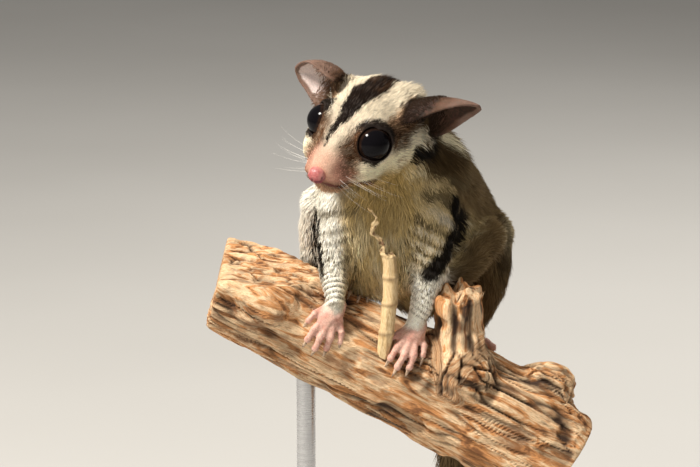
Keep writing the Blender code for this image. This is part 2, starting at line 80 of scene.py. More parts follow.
class Nodes:
    """Short ways to add and link shader nodes in one tree."""

    def __init__(self, tree):
        self.tree = tree

    def node(self, kind, links=None, **settings):
        made = self.tree.nodes.new("ShaderNode" + kind)
        for name, value in settings.items():
            setattr(made, name, value)
        for socket, value in (links or {}).items():
            target = made.inputs[socket]
            if isinstance(value, bpy.types.NodeSocket):
                self.tree.links.new(value, target)
            else:
                target.default_value = (*value, 1.0) if target.type == "RGBA" else value
        return made

    def noise(self, where, scale, detail=4.0, roughness=0.55, distortion=0.0):
        made = self.node("TexNoise", {
            "Vector": where, "Scale": scale, "Detail": detail, "Roughness": roughness,
            "Distortion": distortion,
        })
        return made.outputs["Fac"]

    def mix(self, factor, first, second):
        made = self.node("Mix", data_type="RGBA")
        for socket, value in zip((made.inputs[0], made.inputs[6], made.inputs[7]), (factor, first, second)):
            if isinstance(value, bpy.types.NodeSocket):
                self.tree.links.new(value, socket)
            else:
                socket.default_value = (*value, 1.0) if isinstance(value, tuple) else value
        return made.outputs[2]

    def sum(self, *terms):
        """Adds (value, share) terms."""
        total = None
        for value, share in terms:
            part = self.node("Math", {0: value, 1: share}, operation="MULTIPLY").outputs[0]
            total = part if total is None else self.node("Math", {0: total, 1: part}).outputs[0]
        return total

    def spread(self, value, low, high, to_low=0.0, to_high=1.0):
        made = self.node("MapRange", {
            "Value": value, "From Min": low, "From Max": high, "To Min": to_low, "To Max": to_high,
        })
        return made.outputs["Result"]


class Effect(Nodes):
    """A shader node group under construction, with named inputs and outputs."""

    def __init__(self, name, inputs, outputs):
        super().__init__(bpy.data.node_groups.new(name, "ShaderNodeTree"))
        for way, sockets in (("INPUT", inputs), ("OUTPUT", outputs)):
            for socket, kind in sockets.items():
                self.tree.interface.new_socket(name=socket, in_out=way, socket_type="NodeSocket" + kind)
        self.given = self.tree.nodes.new("NodeGroupInput").outputs
        self.result = self.tree.nodes.new("NodeGroupOutput").inputs

    def give(self, **values):
        for name, value in values.items():
            self.tree.links.new(value, self.result[name])
        return self.tree


class Finish(Nodes):
    """A material under construction: its nodes, its shader and short ways to link them."""

    def __init__(self, name, roughness, **constants):
        self.material = bpy.data.materials.new(name)
        self.material.use_nodes = True
        super().__init__(self.material.node_tree)
        self.shader = self.tree.nodes["Principled BSDF"]
        self.shader.inputs["Roughness"].default_value = roughness
        for socket, value in constants.items():
            self.shader.inputs[socket.replace("_", " ")].default_value = value

    def effect(self, group, **given):
        """Places a node group with this material's own values."""
        links = {socket.replace("_", " "): value for socket, value in given.items()}
        return self.node("Group", links, node_tree=group).outputs

    def places(self, scale=(1, 1, 1), name=None):
        """Object coordinates, or a named attribute's, stretched."""
        if name:
            source = self.node("Attribute", attribute_name=name).outputs["Vector"]
        else:
            source = self.node("TexCoord").outputs["Object"]
        return self.node("Mapping", {"Vector": source, "Scale": scale}).outputs["Vector"]

    def value(self, name):
        """A number stored for each vertex."""
        return self.node("Attribute", attribute_name=name).outputs["Fac"]

    def layered(self, colour, *layers):
        """A colour with (mask, colour) layers laid over it, one after another."""
        for mask, other in layers:
            colour = self.mix(mask, colour, other)
        return colour

    def ramp(self, factor, stops):
        made = self.node("ValToRGB", {"Fac": factor})
        band = made.color_ramp
        while len(band.elements) < len(stops):
            band.elements.new(0.5)
        for element, (place, colour) in zip(band.elements, stops):
            element.position = place
            element.color = (*colour, 1.0)
        return made.outputs["Color"]

    def finish(self, colour, roughness=None, height=None, distance=0.0002, strength=0.5):
        self.tree.links.new(colour, self.shader.inputs["Base Color"])
        if roughness:
            self.tree.links.new(roughness, self.shader.inputs["Roughness"])
        if height:
            bump = self.node("Bump", {"Height": height, "Distance": distance, "Strength": strength})
            self.tree.links.new(bump.outputs["Normal"], self.shader.inputs["Normal"])
        return self.material


def wood_figure():
    """Streaks of pale and dark wood along the grain, for the base, the bough and the twig."""
    group = Effect("wood_figure", {
        "Place": "Vector", "Scale": "Float", "Detail": "Float", "Roughness": "Float",
        "Distortion": "Float", "Dark Until": "Float", "Pale At": "Float", "Dark From": "Float",
        "Pale": "Color", "Dark": "Color",
    }, {"Color": "Color", "Fibre": "Float"})
    given = group.given
    noise_inputs = ("Place", "Scale", "Detail", "Roughness", "Distortion")
    fibre = group.noise(*(given[name] for name in noise_inputs))
    rising = group.spread(fibre, given["Dark Until"], given["Pale At"])
    falling = group.spread(fibre, given["Dark From"], given["Pale At"])
    pale = group.node("Math", {0: rising, 1: falling}, operation="MINIMUM").outputs[0]
    return group.give(Color=group.mix(pale, given["Dark"], given["Pale"]), Fibre=fibre)


WOOD_FIGURE = wood_figure()


def make_base():
    low, high = (Vector(corner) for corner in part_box("stand_base"))
    size, middle = high - low, (low + high) / 2
    bm = bmesh.new()
    place = Matrix.Translation(middle) @ Matrix.Diagonal((*size, 1.0))
    bmesh.ops.create_cube(bm, size=1.0, matrix=place)
    top = [face for face in bm.faces if face.normal.z > 0.9]
    bmesh.ops.inset_region(bm, faces=top, thickness=BASE_STEP)
    rim = [edge for edge in bm.edges if all(vert.co.z > middle.z for vert in edge.verts)]
    outer = [edge for edge in rim if sum(face.normal.z > 0.9 for face in edge.link_faces) == 1]
    for vert in {vert for edge in outer for vert in edge.verts}:
        vert.co.z -= BASE_STEP
    bmesh.ops.recalc_face_normals(bm, faces=bm.faces)
    bmesh.ops.bevel(
        bm, geom=bm.edges[:], offset=BASE_EDGE, offset_type="OFFSET", segments=3, profile=0.5,
        affect="EDGES", material=-1, clamp_overlap=True,
    )
    made = to_object("display_base", bm)
    made.data.set_sharp_from_angle(angle=math.radians(50))
    look = Finish("stained_hardwood", 0.38, Coat_Weight=0.25, Coat_Roughness=0.22)
    wood = look.effect(
        WOOD_FIGURE, Place=look.places(scale=(1.0, 9.0, 9.0)), Scale=26.0, Detail=6.0, Roughness=0.55,
        Distortion=0.6, Dark_Until=0.30, Pale_At=0.55, Dark_From=0.72, Pale=STAIN_LIGHT, Dark=STAIN_DARK,
    )
    pores = look.noise(look.places(scale=(1.0, 30.0, 30.0)), 90.0, detail=3.0)
    colour = look.mix(look.spread(pores, 0.45, 0.7, 0.0, 0.55), wood["Color"], STAIN_DARK)
    rough = look.spread(wood["Fibre"], 0.3, 0.7, 0.32, 0.48)
    made.data.materials.append(look.finish(colour, rough, pores, distance=0.0001, strength=0.25))
    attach(made, "root")
    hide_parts("stand_base")


make_base()


# The rods: two straight steel rods, turned smooth, each in a small collar screwed down to the base.
# They run up into holes drilled in the underside of the branch.

ROD_RADIUS = 3.0 * MM
COLLAR_RADIUS = 6.0 * MM
COLLAR_TOP_RADIUS = 5.16 * MM
COLLAR_HEIGHT = 3.4 * MM
COLLAR_EDGE = 0.5 * MM
ROD_SIDES = 48
STEEL = (0.50, 0.50, 0.51)
STEEL_WORN = (0.66, 0.66, 0.67)


def make_rods():
    look = Finish("brushed_steel", 0.32, Metallic=1.0)
    rings = look.noise(look.places(scale=(1.0, 1.0, 26.0)), 120.0, detail=4.0)
    handled = look.noise(look.places(), 60.0, detail=3.0)
    colour = look.ramp(rings, ((0.35, STEEL), (0.65, STEEL_WORN)))
    satin = look.spread(rings, 0.3, 0.7, 0.22, 0.36)
    rough = look.sum((satin, 1.0), (look.spread(handled, 0.5, 0.7), 0.12))
    steel = look.finish(colour, rough, rings, distance=0.00003, strength=0.2)
    for side in ("left", "right"):
        node = "stand_rod_" + side
        low, high = (Vector(corner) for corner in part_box(node))
        middle = (low + high) / 2
        bm = bmesh.new()
        bmesh.ops.create_cone(
            bm, cap_ends=True, segments=ROD_SIDES, radius1=ROD_RADIUS, radius2=ROD_RADIUS,
            depth=high.z - low.z, matrix=Matrix.Translation(middle),
        )
        collar_middle = Vector((middle.x, middle.y, low.z + COLLAR_HEIGHT / 2))
        collar = bmesh.ops.create_cone(
            bm, cap_ends=True, segments=ROD_SIDES, radius1=COLLAR_RADIUS, radius2=COLLAR_TOP_RADIUS,
            depth=COLLAR_HEIGHT, matrix=Matrix.Translation(collar_middle),
        )
        edges = dict.fromkeys(edge for vert in collar["verts"] for edge in vert.link_edges)
        rims = [edge for edge in edges if abs(edge.verts[0].co.z - edge.verts[1].co.z) < 1e-6]
        bmesh.ops.bevel(
            bm, geom=rims, offset=COLLAR_EDGE, offset_type="OFFSET", segments=3, profile=0.5,
            affect="EDGES", material=-1,
        )
        made = to_object("steel_rod_" + side, bm)
        made.data.set_sharp_from_angle(angle=math.radians(40))
        made.data.materials.append(steel)
        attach(made, "root")
        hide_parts(node)


make_rods()


# The perch: a short cut length of dry, barkless bough with a snapped stub, its grain open in long
# splits. It is bored for the rods, and sawn square at both ends.

# Places in millimetres, here and on the animal, are measured from the datum.
DATUM = np.array((-0.004, -0.024, 0.142))
BRANCH_SLOPE = math.radians(26.4)
BOUGH_RADIUS = 17.2
SAWN_ENDS = (-67.5, 63.6)
KNOT = ((1.0, -14.0, 9.0), (3.0, -17.0, 4.0))
STUB_FOOT = np.array((13.5, -6.0, -2.0))
STUB_TOP = np.array((17.5, -7.0, 27.0))
STUB_GRAIN_SHIFT = 90
PERCH_VOXEL = 0.62
SPLINTER_COUNT = 44
WOOD_PALE = (0.86, 0.64, 0.40)
WOOD_ORANGE = (0.62, 0.285, 0.105)
WOOD_BROWN = (0.21, 0.088, 0.034)
WOOD_DARK = (0.040, 0.020, 0.011)
WOOD_GREY = (0.30, 0.20, 0.13)


def pour(source, target):
    """Adds one bmesh to another and frees it."""
    mesh = bpy.data.meshes.new("poured")
    source.to_mesh(mesh)
    source.free()
    target.from_mesh(mesh)
    bpy.data.meshes.remove(mesh)


def merged_copy(*nodes, grow=0.0):
    """A bmesh of CAD nodes' shapes with their corners merged, grown a little in millimetres."""
    bm = bmesh.new()
    for node in nodes:
        part = bmesh.new()
        part.from_mesh(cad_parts[node].data)
        bmesh.ops.remove_doubles(part, verts=part.verts, dist=1e-6)
        bmesh.ops.recalc_face_normals(part, faces=part.faces)
        part.normal_update()
        for vert in part.verts:
            vert.co += vert.normal * grow * MM
        pour(part, bm)
    return bm


def remeshed(name, bm, voxel, smoothing=0):
    """One closed skin over everything in a bmesh, with its voxel in millimetres."""
    made = to_object(name, bm)
    remesh = made.modifiers.new("one_skin", "REMESH")
    remesh.mode = "VOXEL"
    remesh.voxel_size = voxel * MM
    if smoothing:
        soften = made.modifiers.new("soften", "SMOOTH")
        soften.factor = 0.5
        soften.iterations = smoothing
    settle(made)
    return made


def in_mm(points):
    """Places in metres of the model, in millimetres from the datum."""
    return (points - DATUM) / MM


def points_of(mesh):
    """A mesh's places in metres, n by 3."""
    flat = np.empty(len(mesh.vertices) * 3)
    mesh.vertices.foreach_get("co", flat)
    return flat.reshape(-1, 3)


def normals_of(mesh):
    flat = np.empty(len(mesh.vertices) * 3, dtype=np.float32)
    mesh.vertex_normals.foreach_get("vector", flat)
    return flat.reshape(-1, 3).astype(float)


def move_points(mesh, points):
    mesh.vertices.foreach_set("co", points.ravel())
    mesh.update()


def field(points, size, seed):
    """A smooth random field from -1 to 1, with lumps of about the given size."""
    q = points / np.asarray(size, dtype=float) + 500.0 + 13.7 * seed
    cell = np.floor(q).astype(np.int64)
    part = q - cell
    part = part * part * (3 - 2 * part)
    total = np.zeros(len(q))
    for corner in range(8):
        step = np.array((corner & 1, corner >> 1 & 1, corner >> 2))
        near = cell + step
        key = (near[:, 0] * 73856093) ^ (near[:, 1] * 19349663) ^ (near[:, 2] * 83492791)
        key = ((key ^ (key >> 13)) * 1274126177) & 0xFFFFFFFF
        key = ((key ^ (key >> 15)) * 2246822519) & 0xFFFFFFFF
        chance = ((key ^ (key >> 16)) & 0xFFFFF) / 0x80000 - 1
        total += chance * np.prod(np.where(step, part, 1 - part), axis=1)
    return total


def keep_numbers(mesh, name, values):
    """Stores a number or a vector for each vertex."""
    values = np.asarray(values, dtype=float)
    kind = "FLOAT" if values.ndim == 1 else "FLOAT_VECTOR"
    made = mesh.attributes.new(name, kind, "POINT")
    made.data.foreach_set("value" if values.ndim == 1 else "vector", values.ravel())


def keep_colours(mesh, name, colours):
    made = mesh.color_attributes.new(name, "FLOAT_COLOR", "POINT")
    made.data.foreach_set("color", np.column_stack((colours, np.ones(len(colours)))).ravel())


def smooth_step(low, high, values):
    share = np.clip((values - low) / (high - low), 0.0, 1.0)
    return share * share * (3 - 2 * share)


def bell(distance, width):
    """1 where there is no distance, falling smoothly to nothing on both sides."""
    return np.exp(-((distance / width) ** 2))


def to_segment(points, start, end):
    """Distance from each point to a segment, and how far along it the nearest place is, from 0 to 1."""
    start, end = np.asarray(start, dtype=float), np.asarray(end, dtype=float)
    line = end - start
    share = np.clip((points - start) @ line / max(line @ line, 1e-12), 0.0, 1.0)
    return np.linalg.norm(points - start - share[:, None] * line, axis=1), share


def from_line(points, *knots):
    """How far each point is from a broken line."""
    return np.minimum.reduce([to_segment(points, *ends)[0] for ends in zip(knots, knots[1:])])


def weathered_wood():
    look = Finish("weathered_wood", 0.78, Specular_IOR_Level=0.35)

    def grained(*scale):
        return look.places(name="grain", scale=scale)

    wide = look.noise(look.places(name="grain"), 0.30, detail=5.0, distortion=0.8)
    wood = look.effect(
        WOOD_FIGURE, Place=grained(0.11, 0.50, 0.50), Scale=0.62, Detail=6.0, Roughness=0.57,
        Distortion=1.2, Dark_Until=0.44, Pale_At=0.54, Dark_From=0.80, Pale=WOOD_PALE, Dark=WOOD_ORANGE,
    )
    fibre = look.noise(grained(0.55, 3.2, 3.2), 0.62, detail=7.0, roughness=0.62)
    fine = look.noise(grained(0.8, 7.0, 7.0), 1.1, detail=4.0)
    patch = look.noise(grained(0.055, 0.14, 0.14), 1.0, detail=5.0, roughness=0.6)
    colour = look.layered(
        WOOD_BROWN,
        (look.spread(wood["Fibre"], 0.36, 0.42), wood["Color"]),
        (look.spread(fibre, 0.50, 0.36, 0.0, 0.5), WOOD_BROWN),
        (look.spread(wide, 0.52, 0.68, 0.0, 0.35), WOOD_ORANGE),
        (look.spread(fine, 0.55, 0.75, 0.0, 0.6), WOOD_BROWN),
        (look.spread(patch, 0.55, 0.64, 0.0, 0.75), WOOD_BROWN),
        (look.spread(patch, 0.40, 0.32, 0.0, 0.55), WOOD_GREY),
        (look.value("groove"), WOOD_DARK),
    )
    rough = look.spread(fibre, 0.3, 0.7, 0.88, 0.66)
    height = look.sum((fibre, 0.6), (fine, 0.4))
    return look.finish(colour, rough, height, distance=0.0007, strength=0.85)


def along_grain(points):
    """Places in millimetres along, round and out of the grain of the bough and of the upright stub, and
    how far each place belongs to the stub."""
    cos, sin = math.cos(BRANCH_SLOPE), math.sin(BRANCH_SLOPE)
    q = in_mm(points)
    x, y, z = q.T
    lying = np.column_stack((x * cos - z * sin, y, x * sin + z * cos))
    upright = np.column_stack((z, y + STUB_GRAIN_SHIFT, x))
    above = lying[:, 2] - np.sqrt(np.maximum(BOUGH_RADIUS**2 - y**2, 0))
    near = smooth_step(14.0, 10.0, from_line(q, STUB_FOOT, STUB_TOP))
    return lying, upright, smooth_step(-1.0, 5.0, above) * near


def make_perch():
    made = remeshed("perch", merged_copy("perch_branch"), PERCH_VOXEL, smoothing=10)
    mesh = made.data
    points, normals = points_of(mesh), normals_of(mesh)
    lying, upright, stub = along_grain(points)

    def both(size, seed):
        return field(lying, size, seed) * (1 - stub) + field(upright, size, seed) * stub

    along = lying[:, 0]
    ends = smooth_step(2.2, 4.5, along - SAWN_ENDS[0]) * smooth_step(2.2, 4.5, SAWN_ENDS[1] - along)
    split = bell(both((44, 3.6, 3.6), 3), 0.085) * smooth_step(-0.45, 0.05, both((30, 11, 11), 4))
    check = bell(both((21, 1.9, 1.9), 5), 0.13) * smooth_step(-0.30, 0.20, both((20, 8, 8), 6))
    worn = smooth_step(0.30, 0.62, both((9, 6.5, 6.5), 7))
    knot = from_line(lying, *KNOT)
    ring = bell(knot - 4.2, 1.3)
    top = smooth_step(17.0, 25.0, in_mm(points)[:, 2]) * stub
    torn = both((24, 1.9, 1.9), 16)
    height = 1.0 * both((22, 10, 10), 1) + 0.55 * both((12, 4.5, 4.5), 2)
    height += 0.50 * both((11, 1.7, 1.7), 8) + 0.26 * both((6, 0.9, 0.9), 9)
    height -= 1.35 * split + 0.6 * check + 0.9 * worn
    height += 0.9 * ring - 1.1 * bell(knot, 2.6)
    height += top * (2.1 * field(upright, (30, 2.3, 2.3), 11) - 0.2)
    height += stub * torn
    shift = normals * (height * ends)[:, None]
    shift[:, 2] += top * 2.6 * field(upright, (60, 2.6, 2.6), 12)
    move_points(mesh, points + shift * MM)
    keep_numbers(mesh, "grain", lying * (1 - stub[:, None]) + upright * stub[:, None])
    dark = 0.95 * split + 0.7 * check + 0.42 * worn + 0.5 * bell(knot, 2.8) + 0.25 * ring
    dark += 0.9 * stub * smooth_step(-0.15, -0.6, torn)
    soot = smooth_step(0.05, 0.5, both((16, 9, 9), 14)) * smooth_step(-0.2, 0.4, both((5, 1.2, 1.2), 15))
    dark += 0.75 * soot
    keep_numbers(mesh, "groove", np.clip(dark * (1 - 0.7 * (1 - ends)), 0, 1))
    return made


def make_splinters():
    """Torn fibres that stand up round the top of the stub."""
    rng = np.random.default_rng(21)
    bm = bmesh.new()
    for turn in np.linspace(0, 2 * math.pi, SPLINTER_COUNT, endpoint=False):
        turn += rng.uniform(-0.08, 0.08)
        out = Vector((math.cos(turn), math.sin(turn), 0))
        reach = rng.uniform(4.2, 7.6)
        foot = Vector(DATUM) + (Vector(STUB_TOP) + out * reach - Vector((0, 0, 4.5))) * MM
        long = rng.uniform(2.6, 6.6) * MM
        lean = out * 0.28 + Vector((rng.normal(0, 0.12), rng.normal(0, 0.12), 1))
        flat = Matrix.Diagonal((1.0, rng.uniform(0.35, 0.7), 1.0, 1.0))
        turned = lean.to_track_quat("Z", "Y").to_matrix().to_4x4()
        bmesh.ops.create_cone(
            bm, cap_ends=True, cap_tris=True, segments=5, radius1=rng.uniform(0.55, 1.15) * MM,
            radius2=0.05 * MM, depth=long,
            matrix=Matrix.Translation(foot) @ turned @ flat @ Matrix.Translation((0, 0, long / 2)),
        )
    return bm


def make_bough():
    wood = weathered_wood()
    perch = make_perch()
    perch.data.materials.append(wood)
    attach(perch, "root")
    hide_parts("perch_branch")
    splinters = to_object("perch_splinters", make_splinters(), smooth=False)
    points = points_of(splinters.data)
    keep_numbers(splinters.data, "grain", along_grain(points)[1])
    keep_numbers(splinters.data, "groove", 0.25 + 0.25 * field(points / MM, 1.5, 3))
    splinters.data.materials.append(wood)
    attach(splinters, "root")


make_bough()


# The twig: a dry shoot snapped off in front of the chest, straw pale and ringed at its joints, with a
# strip of bark that has dried and curled up from its broken end.

TWIG_VOXEL = 0.26
TWIG_JOINTS = (16.5, 26.0, 34.5)
BARK_FROM = 40.0
STRAW_PALE = (0.72, 0.55, 0.31)
STRAW_TAN = (0.47, 0.29, 0.12)
STRAW_DARK = (0.16, 0.085, 0.035)


def make_twig():
    made = remeshed("perch_twig_piece", merged_copy("perch_twig"), TWIG_VOXEL, smoothing=6)
    mesh = made.data
    points, normals = points_of(mesh), normals_of(mesh)
    q = in_mm(points)
    up = q[:, 2]
    strip = smooth_step(BARK_FROM, BARK_FROM + 3.0, up)
    joints = sum(bell(up - place, 0.7) for place in TWIG_JOINTS)
    height = 0.16 * field(q, (0.8, 0.8, 7.0), 31) + 0.30 * joints * (1 - strip)
    height += strip * (0.75 * field(q, (1.3, 1.3, 1.5), 32) + 0.35 * field(q, 0.7, 33))
    points = points + normals * (height * MM)[:, None]
    points[:, 0] += strip * 0.9 * field(q, (9, 9, 2.2), 34) * MM
    move_points(mesh, points)
    keep_numbers(mesh, "grain", np.column_stack((up, q[:, 0], q[:, 1])))
    dark = 0.5 * joints * (1 - strip) + strip * smooth_step(0.1, 0.7, field(q, 1.1, 35))
    keep_numbers(mesh, "groove", np.clip(dark, 0, 1))
    look = Finish("straw_twig", 0.7)
    straw = look.effect(
        WOOD_FIGURE, Place=look.places(name="grain", scale=(0.4, 3.0, 3.0)), Scale=1.0, Detail=5.0,
        Roughness=0.55, Distortion=0.0, Dark_Until=0.32, Pale_At=0.55, Dark_From=0.75, Pale=STRAW_PALE,
        Dark=STRAW_TAN,
    )
    wide = look.noise(look.places(name="grain"), 0.28, detail=3.0)
    colour = look.layered(
        straw["Color"],
        (look.spread(wide, 0.5, 0.68, 0.0, 0.6), STRAW_TAN),
        (look.value("groove"), STRAW_DARK),
    )
    made.data.materials.append(look.finish(colour, None, straw["Fibre"], distance=0.0002, strength=0.5))
    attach(made, "root")
    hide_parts("perch_twig")


make_twig()


# The skin: one closed surface over the whole animal, under the coat by the coat's depth. It is bare and
# pink on the ears, paws and muzzle tip, and it makes the lids, the mouth's edge and the folds of the arms.

# The middle of the head between the eyes, and the ways that it faces. Places of the head are given forward,
# left and up of there.
HEAD_PLACE = np.array((-16.2, -16.0, 80.5))
HEAD_FORWARD = np.array((-0.566, -0.711, -0.418))
HEAD_LEFT = np.array((0.8265, -0.475, -0.302))
EYE_RADIUS = 5.7
EYE_PLACES = {"left": (0.0, 8.7, 0.0), "right": (0.0, -8.7, 0.0)}
EYE_OPENINGS = {"left": (0.525, 0.700, 0.480), "right": (0.505, -0.790, 0.340)}
LID_ANGLE = math.radians(66)
LID_BACK = math.radians(125)
LID_STEPS = 48
COAT_DEPTH = {
    # millimetres from the CAD solid in to the skin; the nodes at 0 are bare
    "head": 1.6, "lower_jaw": 0.7, "neck": 3.5, "trunk": 4.0, "tail_base": 6.0, "tail_middle": 6.5,
    "tail_tip": 5.5, "upper_arm_left": 2.0, "upper_arm_right": 2.0, "forearm_left": 1.3,
    "forearm_right": 1.3, "thigh_left": 3.2, "thigh_right": 3.2, "shank_left": 1.8, "shank_right": 1.8,
    "patagium_left": 2.0, "patagium_right": 2.0, "ear_left": 0.0, "ear_right": 0.0, "fore_paw_left": 0.0,
    "fore_paw_right": 0.0, "hind_foot_left": 0.0, "hind_foot_right": 0.0,
}
FLESH = tuple(COAT_DEPTH)
# Places from the back of the head to the nose, and the coat's depth there.
FACE_DEPTH = ((-22, -8, 4, 12, 15), (2.4, 1.9, 1.3, 0.5, 0.25))
SKIN_VOXEL = 0.42
SKIN_TRIANGLES = 186000
SPINE = ((-9.5, -8.5, 79.0), (-4.0, 1.0, 72.0), (-1.0, 9.0, 62.0), (4.0, 17.0, 56.0), (8.0, 27.0, 51.5),
         (10.5, 39.0, 44.5), (14.0, 51.0, 36.5), (16.0, 60.0, 28.0))
TAIL = ((15.0, 60.0, 28.0), (19.5, 73.0, 18.0), (22.0, 84.0, 2.0), (23.0, 89.0, -18.0), (23.0, 91.0, -40.0),
        (21.0, 90.0, -64.0), (17.5, 91.0, -87.0), (12.0, 97.0, -105.0), (4.0, 107.0, -115.0),
        (-6.0, 118.0, -116.0), (-15.0, 127.0, -110.0))
ARMS = {
    "right": ((-17.0, 5.0, 64.0), (-21.0, -2.0, 49.0), (-21.5, -5.5, 37.0), (-20.6, -10.5, 31.0),
              (-20.5, -15.5, 25.0)),
    "left": ((12.0, 6.0, 64.0), (11.0, -3.0, 46.0), (9.2, -7.5, 32.0), (7.4, -9.5, 25.0), (4.6, -11.0, 18.5)),
}
LEGS = {
    "right": ((0.0, 50.0, 35.0), (-11.0, 37.0, 37.0), (-24.5, 19.0, 35.0), (-23.5, 21.0, 26.0),
              (-19.5, 22.0, 18.5)),
    "left": ((24.5, 51.0, 30.0), (26.5, 38.0, 30.0), (29.0, 23.0, 26.0), (25.0, 24.0, 13.0),
             (18.5, 22.0, 1.5)),
}
PATAGIA = {
    "right": ((-21.0, 7.0, 62.0), (-25.0, 10.0, 53.0), (-26.0, 13.0, 44.0), (-27.0, 15.0, 35.0),
              (-25.0, 18.0, 27.0)),
    "left": ((14.0, -3.0, 30.0), (20.0, 3.0, 31.0), (25.0, 13.0, 35.0), (29.5, 27.0, 39.0),
             (33.0, 41.0, 37.0), (35.5, 52.0, 31.0)),
}
# The line where the lips meet, seen from the side of the head.
MOUTH = ((19.0, -7.9), (16.4, -8.3), (15.2, -8.9), (13.2, -9.7), (10.6, -10.5), (7.6, -10.9), (5.0, -11.6))
EAR_LINES = (
    ((-15.5, 10.5, 1.4), (-26.5, 31.5, 6.5)),
    ((-13.0, -10.0, 3.5), (-13.5, -30.5, 0.5)),
)
PAWS = {
    # place along the bough in millimetres, degrees round it from the crest, side of the first digit
    "fore_paw_right": (-29.5, 57.0, 1), "fore_paw_left": (-3.2, 38.0, -1),
    "hind_foot_right": (-26.0, -34.0, -1), "hind_foot_left": (15.0, -34.0, 1),
}
# Each digit has a radius, and joints given by side, degrees round the bough and height over its bark.
FORE_DIGITS = (
    (1.15, ((-2.6, -4, 2.2), (-4.8, 6, 2.2), (-5.6, 15, 1.4))),
    (1.25, ((-1.6, 7, 2.6), (-2.8, 20, 2.6), (-3.2, 32, 1.4))),
    (1.30, ((0.2, 9, 2.8), (0.0, 24, 2.8), (0.2, 37, 1.4))),
    (1.25, ((2.0, 7, 2.6), (2.9, 20, 2.6), (3.4, 32, 1.4))),
    (1.15, ((3.4, 1, 2.2), (5.4, 11, 2.2), (6.4, 20, 1.4))),
)
HIND_DIGITS = (
    (1.55, ((4.0, 0, 2.6), (7.2, 3, 2.8), (9.4, 9, 1.6))),
    (1.15, ((1.6, 16, 2.6), (1.9, 30, 2.6), (1.8, 41, 1.3))),
    (1.15, ((0.0, 16, 2.6), (-0.1, 32, 2.6), (0.0, 44, 1.3))),
    (1.35, ((-1.7, 15, 2.8), (-2.6, 31, 2.8), (-3.0, 45, 1.4))),
    (1.20, ((-3.2, 12, 2.6), (-5.0, 26, 2.6), (-5.8, 37, 1.3))),
)
# Places along the bough and its radius there.
BRANCH_RADII = ((-70, -56, -45, -25, 0, 22, 45, 66), (23.0, 19.5, 17.6, 16.0, 16.8, 18.6, 18.6, 16.5))


def unit(vectors):
    vectors = np.asarray(vectors, dtype=float)
    return vectors / np.maximum(np.linalg.norm(vectors, axis=-1, keepdims=True), 1e-12)


FORWARD = unit(HEAD_FORWARD)
UPWARD = unit(np.cross(FORWARD, HEAD_LEFT))
LEFTWARD = np.cross(UPWARD, FORWARD)


def head_way(way):
    """A direction given forward, left and up of the head, in the model's axes."""
    way = np.asarray(way, dtype=float)
    return way[..., :1] * FORWARD + way[..., 1:2] * LEFTWARD + way[..., 2:3] * UPWARD


def head_place(place):
    """A place in millimetres of the head, in metres of the model."""
    return DATUM + (HEAD_PLACE + head_way(place)) * MM


def in_head(points):
    """Points in metres of the model, in millimetres forward, left and up of the head."""
    q = in_mm(points) - HEAD_PLACE
    return np.column_stack((q @ FORWARD, q @ LEFTWARD, q @ UPWARD))


def from_eyes(head):
    """How far a place of the head is from the middle of the nearer eyeball, in millimetres."""
    return np.minimum(*(np.linalg.norm(head - centre, axis=1) for centre in EYE_PLACES.values()))


def eye_turn(side):
    """The place and turn of an eyeball, with Z out through its pupil."""
    turn = Vector(head_way(unit(EYE_OPENINGS[side]))).to_track_quat("Z", "Y").to_matrix().to_4x4()
    return Matrix.Translation(Vector(head_place(EYE_PLACES[side]))) @ turn


def clear_of_eyes(points, reach):
    """Moves the places inside an eyeball out to a little over its surface, in millimetres."""
    for centre in EYE_PLACES.values():
        middle = head_place(centre)
        gap = points - middle
        low = np.linalg.norm(gap, axis=1) < (EYE_RADIUS + reach) * MM
        points[low] = middle + unit(gap[low]) * (EYE_RADIUS + reach) * MM


def on_bough(along, angle, height):
    """A place in millimetres over the bark: angle in degrees runs from the crest towards -Y."""
    reach = np.interp(along, *BRANCH_RADII) + height
    rise, front = reach * math.cos(math.radians(angle)), reach * math.sin(math.radians(angle))
    cos, sin = math.cos(BRANCH_SLOPE), math.sin(BRANCH_SLOPE)
    return np.array((along * cos + rise * sin, -front, -along * sin + rise * cos))


def digit_line(paw, knots):
    """The joints of one digit, in metres."""
    along, angle, mirror = PAWS[paw]
    places = []
    for side, turn, height in knots:
        places.append(Vector(DATUM + on_bough(along + side * mirror, angle + turn, height) * MM))
    return places


def add_rod_between(bm, start, end, first, second, segments=14):
    turn = (end - start).to_track_quat("Z", "Y").to_matrix().to_4x4()
    bmesh.ops.create_cone(
        bm, cap_ends=True, segments=segments, radius1=first * MM, radius2=second * MM,
        depth=(end - start).length, matrix=Matrix.Translation((start + end) / 2) @ turn,
    )


def add_ball(bm, place, radius, segments=16):
    bmesh.ops.create_uvsphere(
        bm, u_segments=segments, v_segments=segments // 2 + 1, radius=radius * MM,
        matrix=Matrix.Translation(place),
    )


def add_digits(bm):
    """Fingers and toes with their knuckles, pads and thin shanks between them."""
    for paw in PAWS:
        for radius, knots in FORE_DIGITS if paw.startswith("fore") else HIND_DIGITS:
            joints = digit_line(paw, knots)
            for step, (start, end) in enumerate(zip(joints, joints[1:])):
                add_rod_between(bm, start, end, radius * 0.90, radius * 0.80)
                middle = start.lerp(end, 0.5)
                add_ball(bm, middle, radius * (0.92 - 0.04 * step))
            for step, joint in enumerate(joints):
                add_ball(bm, joint, radius * (1.12, 1.06, 1.00)[step])


